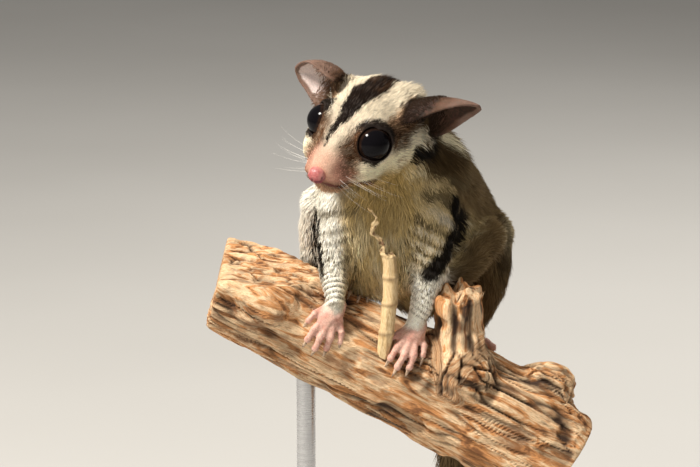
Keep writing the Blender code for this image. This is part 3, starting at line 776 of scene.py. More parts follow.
def add_lids(bm):
    """A shell of skin round each eyeball, open at the front, with a rounded rim."""
    ahead = Vector((0, 0, 1))
    for side in EYE_PLACES:
        place = eye_turn(side)
        shell = bmesh.new()
        bmesh.ops.create_uvsphere(shell, u_segments=48, v_segments=36, radius=(EYE_RADIUS + 1.15) * MM)
        opening = [vert for vert in shell.verts if not LID_ANGLE <= vert.co.angle(ahead) <= LID_BACK]
        bmesh.ops.delete(shell, geom=opening, context="VERTS")
        bmesh.ops.recalc_face_normals(shell, faces=shell.faces)
        bmesh.ops.solidify(shell, geom=shell.faces[:], thickness=0.85 * MM)
        bmesh.ops.recalc_face_normals(shell, faces=shell.faces)
        bmesh.ops.transform(shell, matrix=place, verts=shell.verts)
        pour(shell, bm)
        reach = EYE_RADIUS + 0.72
        points = []
        for step in range(LID_STEPS):
            angle = 2 * math.pi * step / LID_STEPS
            spot = Vector((math.cos(angle), math.sin(angle), 0)) * reach * math.sin(LID_ANGLE) * MM
            spot.z = reach * math.cos(LID_ANGLE) * MM
            points.append(place @ spot)
        for start, end in zip(points, points[1:] + points[:1]):
            add_rod_between(bm, start, end, 0.62, 0.62, segments=10)
            add_ball(bm, start, 0.62, segments=10)


class Surface:
    """A triangle mesh as arrays, with the sums over neighbours that smoothing needs."""

    def __init__(self, mesh):
        mesh.calc_loop_triangles()
        self.points = points_of(mesh)
        corners = np.empty(len(mesh.loop_triangles) * 3, dtype=np.int32)
        mesh.loop_triangles.foreach_get("vertices", corners)
        self.faces = corners.reshape(-1, 3)
        edges = np.empty(len(mesh.edges) * 2, dtype=np.int32)
        mesh.edges.foreach_get("vertices", edges)
        first, second = edges.reshape(-1, 2).T
        self.ends = np.concatenate((first, second)), np.concatenate((second, first))
        self.count = np.maximum(np.bincount(self.ends[0], minlength=len(self.points)), 1)

    def around(self, values):
        """The mean of each vertex's neighbours."""
        values = np.asarray(values, dtype=float)
        if values.ndim == 1:
            return np.bincount(self.ends[0], values[self.ends[1]], minlength=len(self.points)) / self.count
        return np.column_stack([self.around(column) for column in values.T])

    def softened(self, values, rounds, share=0.5):
        """Values drawn towards the mean of their neighbours, over and over."""
        for _ in range(rounds):
            values = values + (self.around(values) - values) * share
        return values

    def normals(self):
        a, b, c = (self.points[self.faces[:, corner]] for corner in range(3))
        across = np.cross(b - a, c - a)
        total = np.zeros_like(self.points)
        for corner in range(3):
            for axis in range(3):
                total[:, axis] += np.bincount(self.faces[:, corner], across[:, axis], minlength=len(total))
        return unit(total)

    def areas(self):
        a, b, c = (self.points[self.faces[:, corner]] for corner in range(3))
        return np.linalg.norm(np.cross(b - a, c - a), axis=1) / 2


def nearest_nodes(points):
    """For each point, the number in FLESH of the CAD node that is nearest."""
    bm = bmesh.new()
    owner = []
    for number, node in enumerate(FLESH):
        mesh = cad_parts[node].data
        bm.from_mesh(mesh)
        owner += [number] * (len(bm.faces) - len(owner))
    tree = BVHTree.FromBMesh(bm)
    bm.free()
    owner = np.array(owner)
    return owner[[tree.find_nearest(Vector(point))[2] for point in points]]


def along_line(points, line):
    """For points in millimetres: distance to a broken line, the way it runs there, and the place on it."""
    line = np.asarray(line, dtype=float)
    best = np.full(len(points), np.inf)
    way = np.zeros_like(points)
    place = np.zeros(len(points))
    for number, (start, end) in enumerate(zip(line, line[1:])):
        reach, share = to_segment(points, start, end)
        nearer = reach < best
        best = np.where(nearer, reach, best)
        way[nearer] = unit(end - start)
        place = np.where(nearer, number + share, place)
    return best, way, place


def make_skin_shape():
    bm = merged_copy(*(node for node in FLESH if COAT_DEPTH[node]), grow=0.36)
    pour(merged_copy(*(node for node in FLESH if not COAT_DEPTH[node]), grow=0.05), bm)
    add_digits(bm)
    add_lids(bm)
    made = remeshed("skin", bm, SKIN_VOXEL, smoothing=3)
    mesh = made.data
    q, head = in_mm(points_of(mesh)), in_head(points_of(mesh))
    fine = smooth_step(25.0, 20.0, np.linalg.norm(head - (0.0, 0.0, -1.0), axis=1))
    for paw, (along, angle, _) in PAWS.items():
        centre = on_bough(along, angle + (14 if paw.startswith("fore") else 4), 1.0)
        fine = np.maximum(fine, smooth_step(18.0, 14.0, np.linalg.norm(q - centre, axis=1)))
    for line in EAR_LINES:
        fine = np.maximum(fine, smooth_step(11.0, 9.0, from_line(head, *line)))
    group = made.vertex_groups.new(name="thin_here")
    for level in np.linspace(0, 1, 6):
        chosen = np.nonzero(np.abs(1 - fine - level) <= 0.1)[0]
        group.add(chosen.tolist(), float(level), "REPLACE")
    mesh.calc_loop_triangles()
    thin = made.modifiers.new("thin", "DECIMATE")
    thin.use_collapse_triangulate = True
    thin.vertex_group = "thin_here"
    thin.ratio = min(1.0, SKIN_TRIANGLES / len(mesh.loop_triangles))
    settle(made)
    made.vertex_groups.clear()
    return made


# The skin and the coat are coloured and combed by these groups. In arrays of shares they are columns 0 to 7.
GROUPS = ("head", "body", "tail", "arm", "leg", "patagium", "ear", "paw")
GROUP_NODES = {
    "head": ("head", "lower_jaw"), "body": ("neck", "trunk"),
    "tail": ("tail_base", "tail_middle", "tail_tip"),
    "arm": ("upper_arm_left", "upper_arm_right", "forearm_left", "forearm_right"),
    "leg": ("thigh_left", "thigh_right", "shank_left", "shank_right"),
    "patagium": ("patagium_left", "patagium_right"), "ear": ("ear_left", "ear_right"),
    "paw": ("fore_paw_left", "fore_paw_right", "hind_foot_left", "hind_foot_right"),
}
HAIR_WAYS = (
    # a place of the head, and the way that its hair lies: forward, left, up
    ((15, 0, -2), (-1, 0, 0.45)), ((11, 0, 2), (-1, 0, 0.55)), ((6, 0, 6), (-1, 0, 0.3)),
    ((0, 0, 8), (-1, 0, 0.2)), ((-8, 0, 10), (-1, 0, 0.05)), ((-16, 0, 10), (-1, 0, -0.2)),
    ((-24, 0, 7), (-1, 0, -0.6)),
    ((13, 4, -5), (-1, 0.35, 0.1)), ((9, 6, -4), (-1, 0.45, 0.35)), ((9, 6.5, -8), (-1, 0.5, -0.15)),
    ((5, 5, 3), (-1, 0.25, 0.6)), ((0, 8, 6.5), (-1, 0.3, 0.25)), ((-7, 8, 8), (-1, 0.3, 0.1)),
    ((4, 10, -7), (-1, 0.45, -0.55)), ((-1, 13, -7), (-1, 0.3, -0.55)), ((-6, 14, -6), (-1, 0.25, -0.45)),
    ((-6, 13, 0), (-1, 0.3, -0.1)), ((-10, 12, 4), (-1, 0.5, 0.25)), ((-13, 14, -1), (-0.9, 0.45, -0.35)),
    ((-14, 14, -6), (-0.8, 0.35, -0.8)), ((-18, 10, 4), (-1, 0.1, -0.35)), ((-20, 9, -2), (-1, 0.05, -0.6)),
    ((10, 0, -13), (-1, 0, -0.25)), ((2, 0, -17), (-0.9, 0, -0.6)), ((6, 6, -13), (-1, 0.3, -0.45)),
    ((-2, 8, -15), (-0.8, 0.25, -0.8)), ((-8, 0, -19), (-0.5, 0, -1)), ((-10, 9, -14), (-0.6, 0.2, -1)),
)
HAIR_REACH = 4.2
LIMB_DROOP = (
    # column of the shares, lines of the limbs, and how their hair hangs
    (3, ARMS, (0.0, 0.15, -0.35)), (4, LEGS, (0.0, 0.35, -0.7)), (5, PATAGIA, (0.0, 0.55, -0.75)),
)


def combed(points, normals, shares):
    """The way that the hair lies at each place: a unit direction along the surface."""
    q, head = in_mm(points), in_head(points)
    way = np.zeros_like(points)
    for place, lie in HAIR_WAYS:
        for sign in (1, -1) if place[1] else (1,):
            gap = head - np.array(place) * (1, sign, 1)
            weight = np.exp(-np.sum(gap**2, axis=1) / (2 * HAIR_REACH**2)) + 1e-9
            way += weight[:, None] * head_way(unit(np.array(lie) * (1, sign, 1)))
    total = unit(way) * shares[:, :1]
    total += unit(along_line(q, SPINE)[1] + (0.0, -0.042, -0.42)) * shares[:, 1:2]
    total += along_line(q, TAIL)[1] * shares[:, 2:3]
    for number, sides, droop in LIMB_DROOP:
        (reach, run, _), (other_reach, other_run, _) = (along_line(q, line) for line in sides.values())
        chosen = np.where((other_reach < reach)[:, None], other_run, run)
        total += unit(chosen + droop) * shares[:, number:number + 1]
    total += np.array((0.0, 0.3, -0.2)) * np.sum(shares[:, 6:], axis=1)[:, None]
    for centre in EYE_PLACES.values():
        gap = head - centre
        far = np.linalg.norm(gap, axis=1)
        near = np.exp(-np.maximum(far - EYE_RADIUS - 0.4, 0) / 1.8) * (far < EYE_RADIUS + 6)
        total += head_way(unit(gap)) * (1.15 * near)[:, None]
    total -= normals * np.sum(total * normals, axis=1, keepdims=True)
    return unit(total)


def colour(red, green, blue):
    """A linear colour from the 0 to 255 values that a screen shows."""
    share = np.array((red, green, blue)) / 255
    return np.where(share <= 0.04045, share / 12.92, ((share + 0.055) / 1.055) ** 2.4)


# Greys, creams and browns are named by where they lie.
CREAM_CROWN = colour(228, 214, 188)
CREAM_BROW = colour(230, 214, 190)
CREAM_CHEEK = colour(252, 240, 204)
STRIPE = colour(24, 15, 9)
EYE_RING = colour(26, 17, 11)
EAR_BAND = colour(78, 54, 36)
TEMPLE = colour(140, 108, 78)
TEMPLE_DARK = colour(68, 46, 26)
EAR_TUFT = colour(250, 238, 210)
MUZZLE_PINK = colour(204, 148, 127)
MUZZLE_BROWN = colour(90, 60, 37)
# Brownish lower lip, with painted shade under the jaw.
CHIN_BROWN_AND_SHADE = colour(150, 110, 74)
LIP_SEAM = colour(96, 50, 44)
LID_RIM = colour(34, 24, 20)
NECK_SHADE = colour(62, 46, 24)
# Cream of the throat, darkened and yellowed with painted shade under the chin.
THROAT_AND_SHADE = colour(160, 127, 54)
BACK_GREY = colour(104, 85, 58)
BACK_BROWN = colour(84, 66, 42)
FLANK = colour(114, 93, 62)
# Cream of the chest and belly, darkened and yellowed with painted shade.
BELLY_AND_SHADE = colour(224, 198, 144)
ARM_WHITE = colour(246, 240, 224)
ARM_TAN = colour(206, 182, 134)
# Near black: dark fur, with painted shade in the gaps by the arms and under the ears.
DARK_FUR_AND_SHADE = colour(9, 5, 3)
LEG_GREY = colour(86, 70, 47)
SHEET_EDGE = colour(200, 184, 146)
TAIL_GREY = colour(112, 94, 70)
TAIL_DARK = colour(40, 32, 27)
EAR_INSIDE = colour(212, 196, 190)
EAR_SHADE = colour(40, 28, 17)
EAR_OUTSIDE = colour(122, 98, 86)
PAW_PINK = colour(226, 182, 164)
PAW_RED = colour(206, 140, 124)


def painted(colours, *layers):
    """Colours with (colour, share) layers laid over them, one after another."""
    for over, share in layers:
        colours = colours + (over - colours) * np.clip(share, 0, 1)[:, None]
    return colours


def mirrored(head):
    """Places of the head, with its right side laid over its left."""
    return np.column_stack((head[:, 0], np.abs(head[:, 1]), head[:, 2]))


def from_lips(head):
    """How far a place of the head is, seen from its side, from the line where the lips meet."""
    return from_line(head[:, (0, 2)], *MOUTH)


FOLDS = {
    # places along the arm in joints of its line, folds counted to there, strength of the folds there
    "left": ((0, 0.64, 1.0, 1.3, 1.57, 1.82, 2.3, 3, 4), (0, 1, 2, 3, 4, 5, 6.8, 9.8, 13.5),
             (0.3, 0.9, 1.0, 1.0, 1.0, 0.9, 0.8, 0.6, 0.5)),
    "right": ((0, 1, 1.6, 2, 3, 4), (0, 2.2, 4.2, 6.2, 10.6, 15), (0.3, 0.5, 0.75, 0.75, 0.55, 0.45)),
}


def arm_folds(q):
    """The loose skin of the arms, from below 0 in a crease to 1 on a roll."""
    best = np.full(len(q), np.inf)
    wave = np.zeros(len(q))
    for side, line in ARMS.items():
        tilt = 0.30 * (q[:, 0] - 11.0) if side == "left" else -0.12 * (q[:, 0] + 20.0)
        reach, _, place = along_line(q + tilt[:, None] * (0, 0, 1), line)
        places, turns, strength = FOLDS[side]
        turn = np.interp(place, places, turns) + 0.34 * field(q, 9.0, 41) + 0.12 * field(q, 3.2, 42)
        roll = 2 * np.abs(np.sin(math.pi * turn)) - 1
        roll *= np.interp(place, places, strength) * (0.85 + 0.35 * field(q, 7.0, 43))
        nearer = reach < best
        best = np.where(nearer, reach, best)
        wave = np.where(nearer, roll * smooth_step(12.5, 9.0, reach), wave)
    return wave


TEMPLE_LINE = ((0.5, 11.2, 4.8), (-4.5, 12.8, 3.4), (-10.0, 14.0, 3.2), (-15.5, 14.5, 4.6))
STRIPE_WIDTH = (
    # from the back of the head to the nose: places, and half of the stripe's width there
    (-30, -22, -16, -11, -7, -3, 0, 3.5, 8.5, 11.5), (1.8, 3.4, 4.7, 4.7, 4.0, 3.2, 2.2, 1.3, 0.8, 0.0),
)
STRIPE_MIDDLE = ((-27, -18, -8, 0, 4, 11), (0.6, -0.2, -1.3, -1.5, -1.6, -1.5))


def head_colours(points):
    h = in_head(points)
    mirror = mirrored(h)
    fore, side, rise = mirror.T
    rough, patchy = field(h, 1.1, 51), field(h, 4.0, 52)
    speckle = smooth_step(-0.1, 0.45, field(h, (2.2, 0.8, 0.8), 53))
    band = np.full(len(h), 9.0)
    for number, ends in enumerate(zip(TEMPLE_LINE, TEMPLE_LINE[1:])):
        reach, share = to_segment(mirror, *ends)
        band = np.minimum(band, reach - 0.45 * (number + share))
    grizzled = (0.55 + 0.45 * speckle) * smooth_step(-1.0, -6.0, fore)
    behind = from_line(mirror, (-5.4, 13.3, -1.0), (-9.0, 14.4, -1.8), (-16.0, 14.6, 0.2))
    streak = from_line(mirror, (-7.0, 14.8, -3.0), (-6.4, 15.6, -8.5))
    base = from_line(mirror, (-14.5, 13.2, 7.0), (-19.0, 15.0, 1.5), (-21.0, 16.0, -3.4))
    made = painted(
        CREAM_CROWN,
        (CREAM_BROW, smooth_step(-6, 3, fore) * smooth_step(-1, 3, rise)),
        (BACK_GREY, smooth_step(-22, -28, fore + 1.5 * patchy) * 0.7),
        (CREAM_CHEEK, smooth_step(-2.5, -6.0, rise)),
        # Painted shade under the chin, in the throat's colour.
        (THROAT_AND_SHADE, 0.85 * smooth_step(-7.0, -13.5, rise + 1.2 * patchy + 0.6 * rough)
         * smooth_step(10, 4, fore)),
        (TEMPLE, 0.95 * smooth_step(4.4, 2.0, band + 0.6 * rough)),
        (EAR_BAND, 0.9 * smooth_step(3.0, 1.0, band + 0.6 * rough) * grizzled),
        (TEMPLE_DARK, smooth_step(4.8, 2.0, behind + 0.6 * rough) * (0.82 + 0.18 * speckle)),
        (TEMPLE, 0.85 * speckle * smooth_step(3.6, 0.8, streak + 0.6 * rough)),
        (STRIPE, 0.95 * smooth_step(4.2, 1.8, base + 0.6 * rough)),
    )
    outer = 1 - smooth_step(8.4, 6.4, side) * np.where(h[:, 1] < 0, 0.9, 0.2)
    for centre in EYE_PLACES.values():
        far = np.linalg.norm(h - centre, axis=1) + 0.25 * rough
        thick = 0.20 + 1.6 * smooth_step(-2.0, 4.0, rise) * outer
        thick += 1.3 * smooth_step(1.0, 4.5, fore) * smooth_step(4.5, 0.0, rise) * outer
        made = painted(made, (EYE_RING, smooth_step(0.8, -0.2, far - EYE_RADIUS - thick)))
    front = from_line(mirror, (5.0, 7.0, 3.2), (8.2, 5.4, 0.8), (9.2, 6.0, -2.4), (11.4, 6.2, -4.6))
    bed = from_line(mirror, (7.0, 8.2, -6.5), (13.6, 4.8, -6.2))
    chin = smooth_step(-9.6, -10.8, rise) * smooth_step(2.0, 6.0, fore)
    snout = smooth_step(9.5, 14.2, fore + 0.6 * patchy + 0.2 * side)
    lip = from_lips(h) + 0.25 * rough
    width = np.interp(fore, *STRIPE_WIDTH)
    level = rise + 0.9 * np.maximum(-14 - fore, 0)
    off = np.abs(h[:, 1] - np.interp(fore, *STRIPE_MIDDLE)) - width
    stripe = smooth_step(0.6, -0.5, off + 0.6 * rough) * smooth_step(-1.0, 1.0, level)
    dark = painted(STRIPE, (EAR_BAND, 0.35 * speckle * smooth_step(-4, -14, fore)))
    return painted(
        made,
        (MUZZLE_BROWN, (0.86 + 0.14 * speckle) * smooth_step(5.3, 2.0, front + 0.6 * rough)),
        (MUZZLE_BROWN, (0.66 + 0.34 * speckle) * smooth_step(4.0, 1.6, bed)),
        # Brownish lower lip, with painted shade under the jaw.
        (CHIN_BROWN_AND_SHADE, 0.85 * chin),
        (MUZZLE_PINK, snout * 0.70 * (1 - 0.6 * chin)),
        (MUZZLE_PINK * (0.92, 0.72, 0.70), 0.55 * smooth_step(15.2, 16.6, fore)),
        (MUZZLE_BROWN, 0.75 * smooth_step(2.3, 0.9, lip)),
        (LIP_SEAM, 0.92 * smooth_step(1.0, 0.4, lip)),
        (dark, stripe * (width > 0.02)),
    )


def side_marks(points, colours, furred):
    """The pale tuft under each ear, the dark notch round it with painted shadow under the ear, painted shade
    on the neck and the cream behind, across head and neck.
    """
    h = in_head(points)
    mirror = mirrored(h)
    rough = field(h, 1.2, 54)
    behind = from_line(mirror, (-27.0, 15.0, -5.0), (-29.5, 16.5, -14.0), (-33.5, 19.0, -20.0))
    neck = from_line(mirror, (-18.0, 20.5, -16.5), (-31.0, 19.5, -22.5))
    notch = from_line(mirror, (-13.0, 16.8, -10.0), (-18.6, 18.2, -12.0), (-24.5, 17.0, -9.0))
    tuft = from_line(mirror, (-13.0, 14.6, -4.6), (-20.5, 17.0, -8.2))
    return painted(
        colours,
        (NECK_SHADE, 0.9 * furred * smooth_step(6.5, 3.0, neck + 0.8 * rough)),
        (CREAM_CHEEK * 0.8, 0.85 * furred * smooth_step(4.2, 2.0, behind + 0.5 * rough)),
        # Dark fur round the ear's opening, with painted shadow under the ear.
        (DARK_FUR_AND_SHADE, furred * smooth_step(4.0, 2.4, notch + 0.7 * rough)),
        (EAR_TUFT, 0.95 * furred * smooth_step(3.3, 2.0, tuft + 0.6 * rough)),
    )


def body_colours(points):
    q = in_mm(points)
    _, run, place = along_line(q, SPINE)
    top = unit((0.0, 0.0, 1.0) - run * run[:, 2:3])
    spine = np.array(SPINE)
    step = np.minimum(place.astype(int), len(spine) - 2)
    out = q - spine[step] - (spine[step + 1] - spine[step]) * (place - step)[:, None]
    height = np.sum(unit(out) * top, axis=1)
    aside = np.abs(np.sum(out * np.cross(run, top), axis=1))
    patchy, rough = field(q, 7.0, 61), field(q, 2.2, 62)
    flecks = smooth_step(0.05, 0.55, field(q, (2.6, 2.6, 4.5), 63))
    line = smooth_step(3.4, 1.9, aside + 0.5 * rough) * smooth_step(0.2, 0.6, height)
    return painted(
        BACK_GREY,
        (BACK_BROWN, 0.5 + 0.5 * patchy),
        (FLANK, smooth_step(0.45, -0.15, height + 0.12 * patchy)),
        # Cream below, with painted shade in it.
        (BELLY_AND_SHADE, smooth_step(-0.18, -0.52, height + 0.13 * patchy + 0.07 * rough)),
        (CREAM_CHEEK, 0.75 * smooth_step(-0.2, -0.6, height) * flecks),
        # Painted shade under the chin, in the throat's colour.
        (THROAT_AND_SHADE, 0.75 * smooth_step(-0.4, -0.8, height) * smooth_step(3.2, 0.8, place)),
        # Whiter towards the right arm: the chest's lit side, with less of the painted shade.
        (ARM_WHITE, smooth_step(-0.1, -0.5, height) * smooth_step(-16.5, -22.0, q[:, 0] + patchy)),
        (STRIPE, 0.95 * line * smooth_step(6.6, 5.2, place)),
    )


BANDS_OF_DARK_FUR_AND_SHADE = (
    # dark fur with painted shade in the gaps by the arms: the width of each band, and its line
    (4.2, ((17.5, -1.2, 55.0), (18.0, -2.2, 51.0), (17.6, -4.0, 47.5), (16.9, -6.2, 44.5),
           (15.9, -7.8, 41.8), (14.3, -9.2, 39.2), (12.4, -10.6, 37.0), (9.0, -12.0, 34.4))),
    (5.2, ((19.2, 5.0, 50.0), (19.6, 9.5, 46.3), (18.2, 9.2, 42.5), (17.6, 3.0, 40.5))),
    (2.3, ((-25.8, 3.0, 52.0), (-26.6, 6.0, 46.0), (-26.8, 8.8, 39.3), (-26.0, 12.0, 31.0))),
    (2.0, ((-25.7, -3.0, 49.5), (-25.6, -5.4, 42.4), (-25.2, -8.0, 38.0), (-24.7, -10.4, 33.8))),
)


def coat_colours(points, shares):
    """The coat's markings, with painted shade and light at its folds and gaps, the same for the skin and for
    each tuft.
    """
    q = in_mm(points)
    x, y, z = q.T
    rough, patchy = field(q, 1.6, 71), field(q, 6.0, 72)
    furred = 1 - shares[:, 6] - shares[:, 7]
    _, _, place = along_line(q, TAIL)
    tail = painted(
        TAIL_GREY, (BACK_BROWN, 0.5 + 0.5 * patchy), (TAIL_DARK, smooth_step(4.6, 7.4, place + 0.3 * rough)),
    )
    white = 0.35 + 0.65 * smooth_step(4.0, -3.0, y + 1.5 * patchy)
    white = white * np.where(x > 0, smooth_step(41.0, 35.0, z + patchy), 1.0)
    outer = np.where(x > 0, smooth_step(11.0, 17.0, x + y * 0.25), 0.0) * smooth_step(40, 50, z)
    inner_arm_shade = np.where(x < 0, smooth_step(-22.5, -18.5, x + 0.6 * patchy), 0.0)
    arm = painted(
        ARM_TAN,
        (ARM_WHITE, white),
        (BACK_GREY, 0.85 * outer + 0.5 * smooth_step(56, 66, z)),
        (BELLY_AND_SHADE, 0.8 * np.where(x < 0, smooth_step(-20.5, -16.5, x), 0.0)),
        # Painted shade, olive, on the inner side of the right arm under the jaw.
        (THROAT_AND_SHADE, 0.5 * inner_arm_shade * smooth_step(47.0, 53.0, z)),
    )
    pale = smooth_step(-18.0, -25.0, x) * smooth_step(28.0, 38.0, z + patchy)
    leg = painted(
        LEG_GREY,
        (BACK_BROWN, 0.4 + 0.5 * patchy),
        (FLANK, smooth_step(30, 20, y) * 0.7),
        (ARM_WHITE, 0.6 * pale * smooth_step(31.0, 16.0, y + 2 * patchy)),
    )
    edge = smooth_step(33.0, 37.5, x + patchy) * smooth_step(54.0, 34.0, y + 3 * patchy)
    sheet = painted(
        FLANK,
        (BACK_BROWN, 0.35 + 0.5 * patchy),
        (ARM_WHITE, 0.9 * smooth_step(-16.0, -20.0, x) * smooth_step(30.0, 18.0, y)),
        (SHEET_EDGE, 0.7 * edge),
    )
    total = head_colours(points) * shares[:, :1] + body_colours(points) * shares[:, 1:2]
    for number, part in ((2, tail), (3, arm), (4, leg), (5, sheet)):
        total += part * shares[:, number:number + 1]
    # The line of the gap between the left flank and the haunch, where shade is painted.
    gap = from_line(q, (33.0, 30.0, 43.5), (36.5, 31.6, 36.0), (33.0, 21.7, 29.0))
    side = smooth_step(-18.0, -24.0, x + 0.6 * patchy) * smooth_step(28.0, 11.0, y + 2 * patchy)
    side = side * smooth_step(64.0, 54.0, z)
    sleeve = from_line(q, (12.0, -5.0, 58.0), (10.5, -8.0, 40.0))
    shoulder = from_line(q, (12.0, -5.0, 61.0), (15.0, -5.0, 50.0))
    grizzled = smooth_step(0.0, 0.5, field(q, (2.4, 2.4, 1.3), 74)) * smooth_step(6.5, 3.0, shoulder)
    fold = arm_folds(q)
    loose = shares[:, 3] + shares[:, 1]
    roll_highlight = loose * smooth_step(0.25, 0.8, fold) * smooth_step(9.0, 5.0, sleeve)
    total = painted(
        total,
        # Painted shade in the gap between the flank and the haunch.
        (BACK_BROWN * 0.45, 0.7 * smooth_step(4.6, 1.8, gap + 0.5 * rough)),
        (ARM_WHITE * 0.92, 0.85 * side * smooth_step(22.0, 28.0, z) * furred),
        (ARM_TAN, 0.75 * smooth_step(9.0, 6.0, sleeve) * furred),
        (BACK_BROWN * 0.7, 0.75 * grizzled * furred),
        # Painted highlight on the rolls of loose skin, and painted shade in the creases between them.
        (ARM_WHITE, 0.45 * roll_highlight * smooth_step(58.0, 50.0, z)),
        (ARM_TAN * 0.22, 0.95 * loose * smooth_step(0.20, -0.45, fold)),
    )
    # Dark fur along the arms, with painted shade in the gaps between arm, body and flap.
    for width, band in BANDS_OF_DARK_FUR_AND_SHADE:
        near = smooth_step(width, 0.5 * width, from_line(q, *band) + 0.5 * rough)
        total = painted(total, (DARK_FUR_AND_SHADE, 0.99 * furred * near))
    total = side_marks(points, total, furred) + ear_colours(points) * shares[:, 6:7]
    paw = painted(PAW_PINK, (PAW_RED, smooth_step(0.0, 0.7, field(q, 1.4, 73)) * 0.55))
    return total + paw * shares[:, 7:8]


def ear_colours(points):
    """Thin bare ears, browner outside, with dark short hair at the root."""
    h = in_head(points)
    beyond = np.where(h[:, 1] < 0, 10.0 - 5.5 * smooth_step(4.0, 0.0, h[:, 2]), 0.0)
    reach = np.abs(h[:, 1]) + beyond + 1.0 * field(h, 1.5, 83)
    return painted(
        EAR_OUTSIDE,
        (EAR_BAND, 0.15 + 0.25 * field(h, 3.0, 81)),
        (EAR_BAND, 0.85 * smooth_step(26.0, 22.0, reach)),
        (STRIPE, 0.9 * smooth_step(23.0, 19.5, reach)),
    )


def make_skin():
    skin = make_skin_shape()
    surface = Surface(skin.data)
    owner = nearest_nodes(surface.points)
    groups = [[FLESH.index(node) for node in GROUP_NODES[group]] for group in GROUPS]
    single = np.column_stack([np.isin(owner, group) for group in groups]).astype(float)
    depth = np.array(list(COAT_DEPTH.values()))[owner]
    head = in_head(surface.points)
    rim = from_eyes(head)
    depth = np.where(single[:, 0] > 0, np.interp(head[:, 0], *FACE_DEPTH), depth)
    depth = np.where(rim < EYE_RADIUS + 2.2, 0.25, depth)
    depth = surface.softened(depth, 14)
    shares = surface.softened(single, 10)
    melt = np.clip(0.5 * (1 - shares[:, 7]) * (1 - 0.75 * shares[:, 6]), 0.04, 0.5)
    melt = np.where(rim < EYE_RADIUS + 1.6, 0.06, melt)
    melt = surface.softened(melt, 3)[:, None]
    surface.points = surface.softened(surface.points, 14, melt)
    normals = surface.softened(surface.normals(), 4)
    surface.points = surface.softened(surface.points - unit(normals) * (depth * MM)[:, None], 6, melt)
    q, head = in_mm(surface.points), in_head(surface.points)
    lift = np.interp(q[:, 2], (26, 40), (0.26, 0.95)) * (shares[:, 3] + 0.8 * shares[:, 1]) * arm_folds(q)
    lift += 0.30 * shares[:, 5] * field(q, 3.0, 91) + 0.35 * (shares[:, 1] + shares[:, 4]) * field(q, 6.0, 92)
    lift += shares[:, 7] * (0.06 * field(q, 0.55, 93) + 0.08 * field(q, 1.2, 94))
    lip = from_lips(head)
    lift += shares[:, 0] * (0.28 * bell(lip - 1.0, 0.6) - 0.85 * bell(lip, 0.5))
    surface.points += surface.normals() * (lift * MM)[:, None]
    clear_of_eyes(surface.points, 0.22)
    move_points(skin.data, surface.points)
    return skin, surface, shares


skin, surface, shares = make_skin()


# The map leaves room at its edges for the patches of the locks.
UV_MARGIN = 0.002
UV_SIZE = 0.993


def unwrap(obj):
    """Lays the skin's own shape out flat, in a UV map named OFBake."""
    bpy.context.view_layer.objects.active = obj
    obj.select_set(True)
    bpy.ops.object.mode_set(mode="EDIT")
    bpy.ops.mesh.select_all(action="SELECT")
    bpy.ops.uv.smart_project(angle_limit=math.radians(66), island_margin=0.001)
    bpy.ops.object.mode_set(mode="OBJECT")
    laid = obj.data.uv_layers.active
    laid.name = "OFBake"
    flat = np.empty(len(obj.data.loops) * 2)
    laid.data.foreach_get("uv", flat)
    flat = UV_MARGIN + UV_SIZE * flat
    laid.data.foreach_set("uv", flat)
    return flat.reshape(-1, 3, 2)


def skin_colours(surface, shares):
    head = in_head(surface.points)
    dip = np.sum((surface.softened(surface.points, 24) - surface.points) * surface.normals(), axis=1) / MM
    inside = shares[:, 6] * smooth_step(-0.02, 0.05, surface.softened(dip, 10))
    # The right ear's lining is pale; the left's is painted shade.
    lining_and_shade = np.where(head[:, 1:2] > 0, EAR_SHADE, EAR_INSIDE)
    depth = np.abs(head[:, 1])
    lids = smooth_step(EYE_RADIUS + 1.1, EYE_RADIUS + 0.5, from_eyes(head))
    return painted(
        coat_colours(surface.points, shares),
        (lining_and_shade, inside * 0.95),
        # Darker towards the root inside each ear: dark short hair, with painted shade deep in the hollow.
        (EAR_BAND, inside * smooth_step(23.0, 17.0, depth) * 0.85),
        (STRIPE, inside * smooth_step(19.4, 16.0, depth) * 0.85),
        (LID_RIM, shares[:, 0] * lids),
    )


def hair_strands():
    """Fine hair over the coat's colour, with dark gaps between, for the skin and for the tufts."""
    group = Effect("hair_strands", {
        "Place": "Vector", "Scale": "Float", "Detail": "Float", "Gap Until": "Float", "Hair From": "Float",
        "Gap Share": "Float", "Coat": "Color", "Gap": "Color",
    }, {"Color": "Color", "Strands": "Float"})
    given = group.given
    strands = group.noise(given["Place"], given["Scale"], given["Detail"], 0.7)
    share = group.spread(strands, given["Gap Until"], given["Hair From"], given["Gap Share"], 0.0)
    return group.give(Color=group.mix(share, given["Coat"], given["Gap"]), Strands=strands)


HAIR_STRANDS = hair_strands()


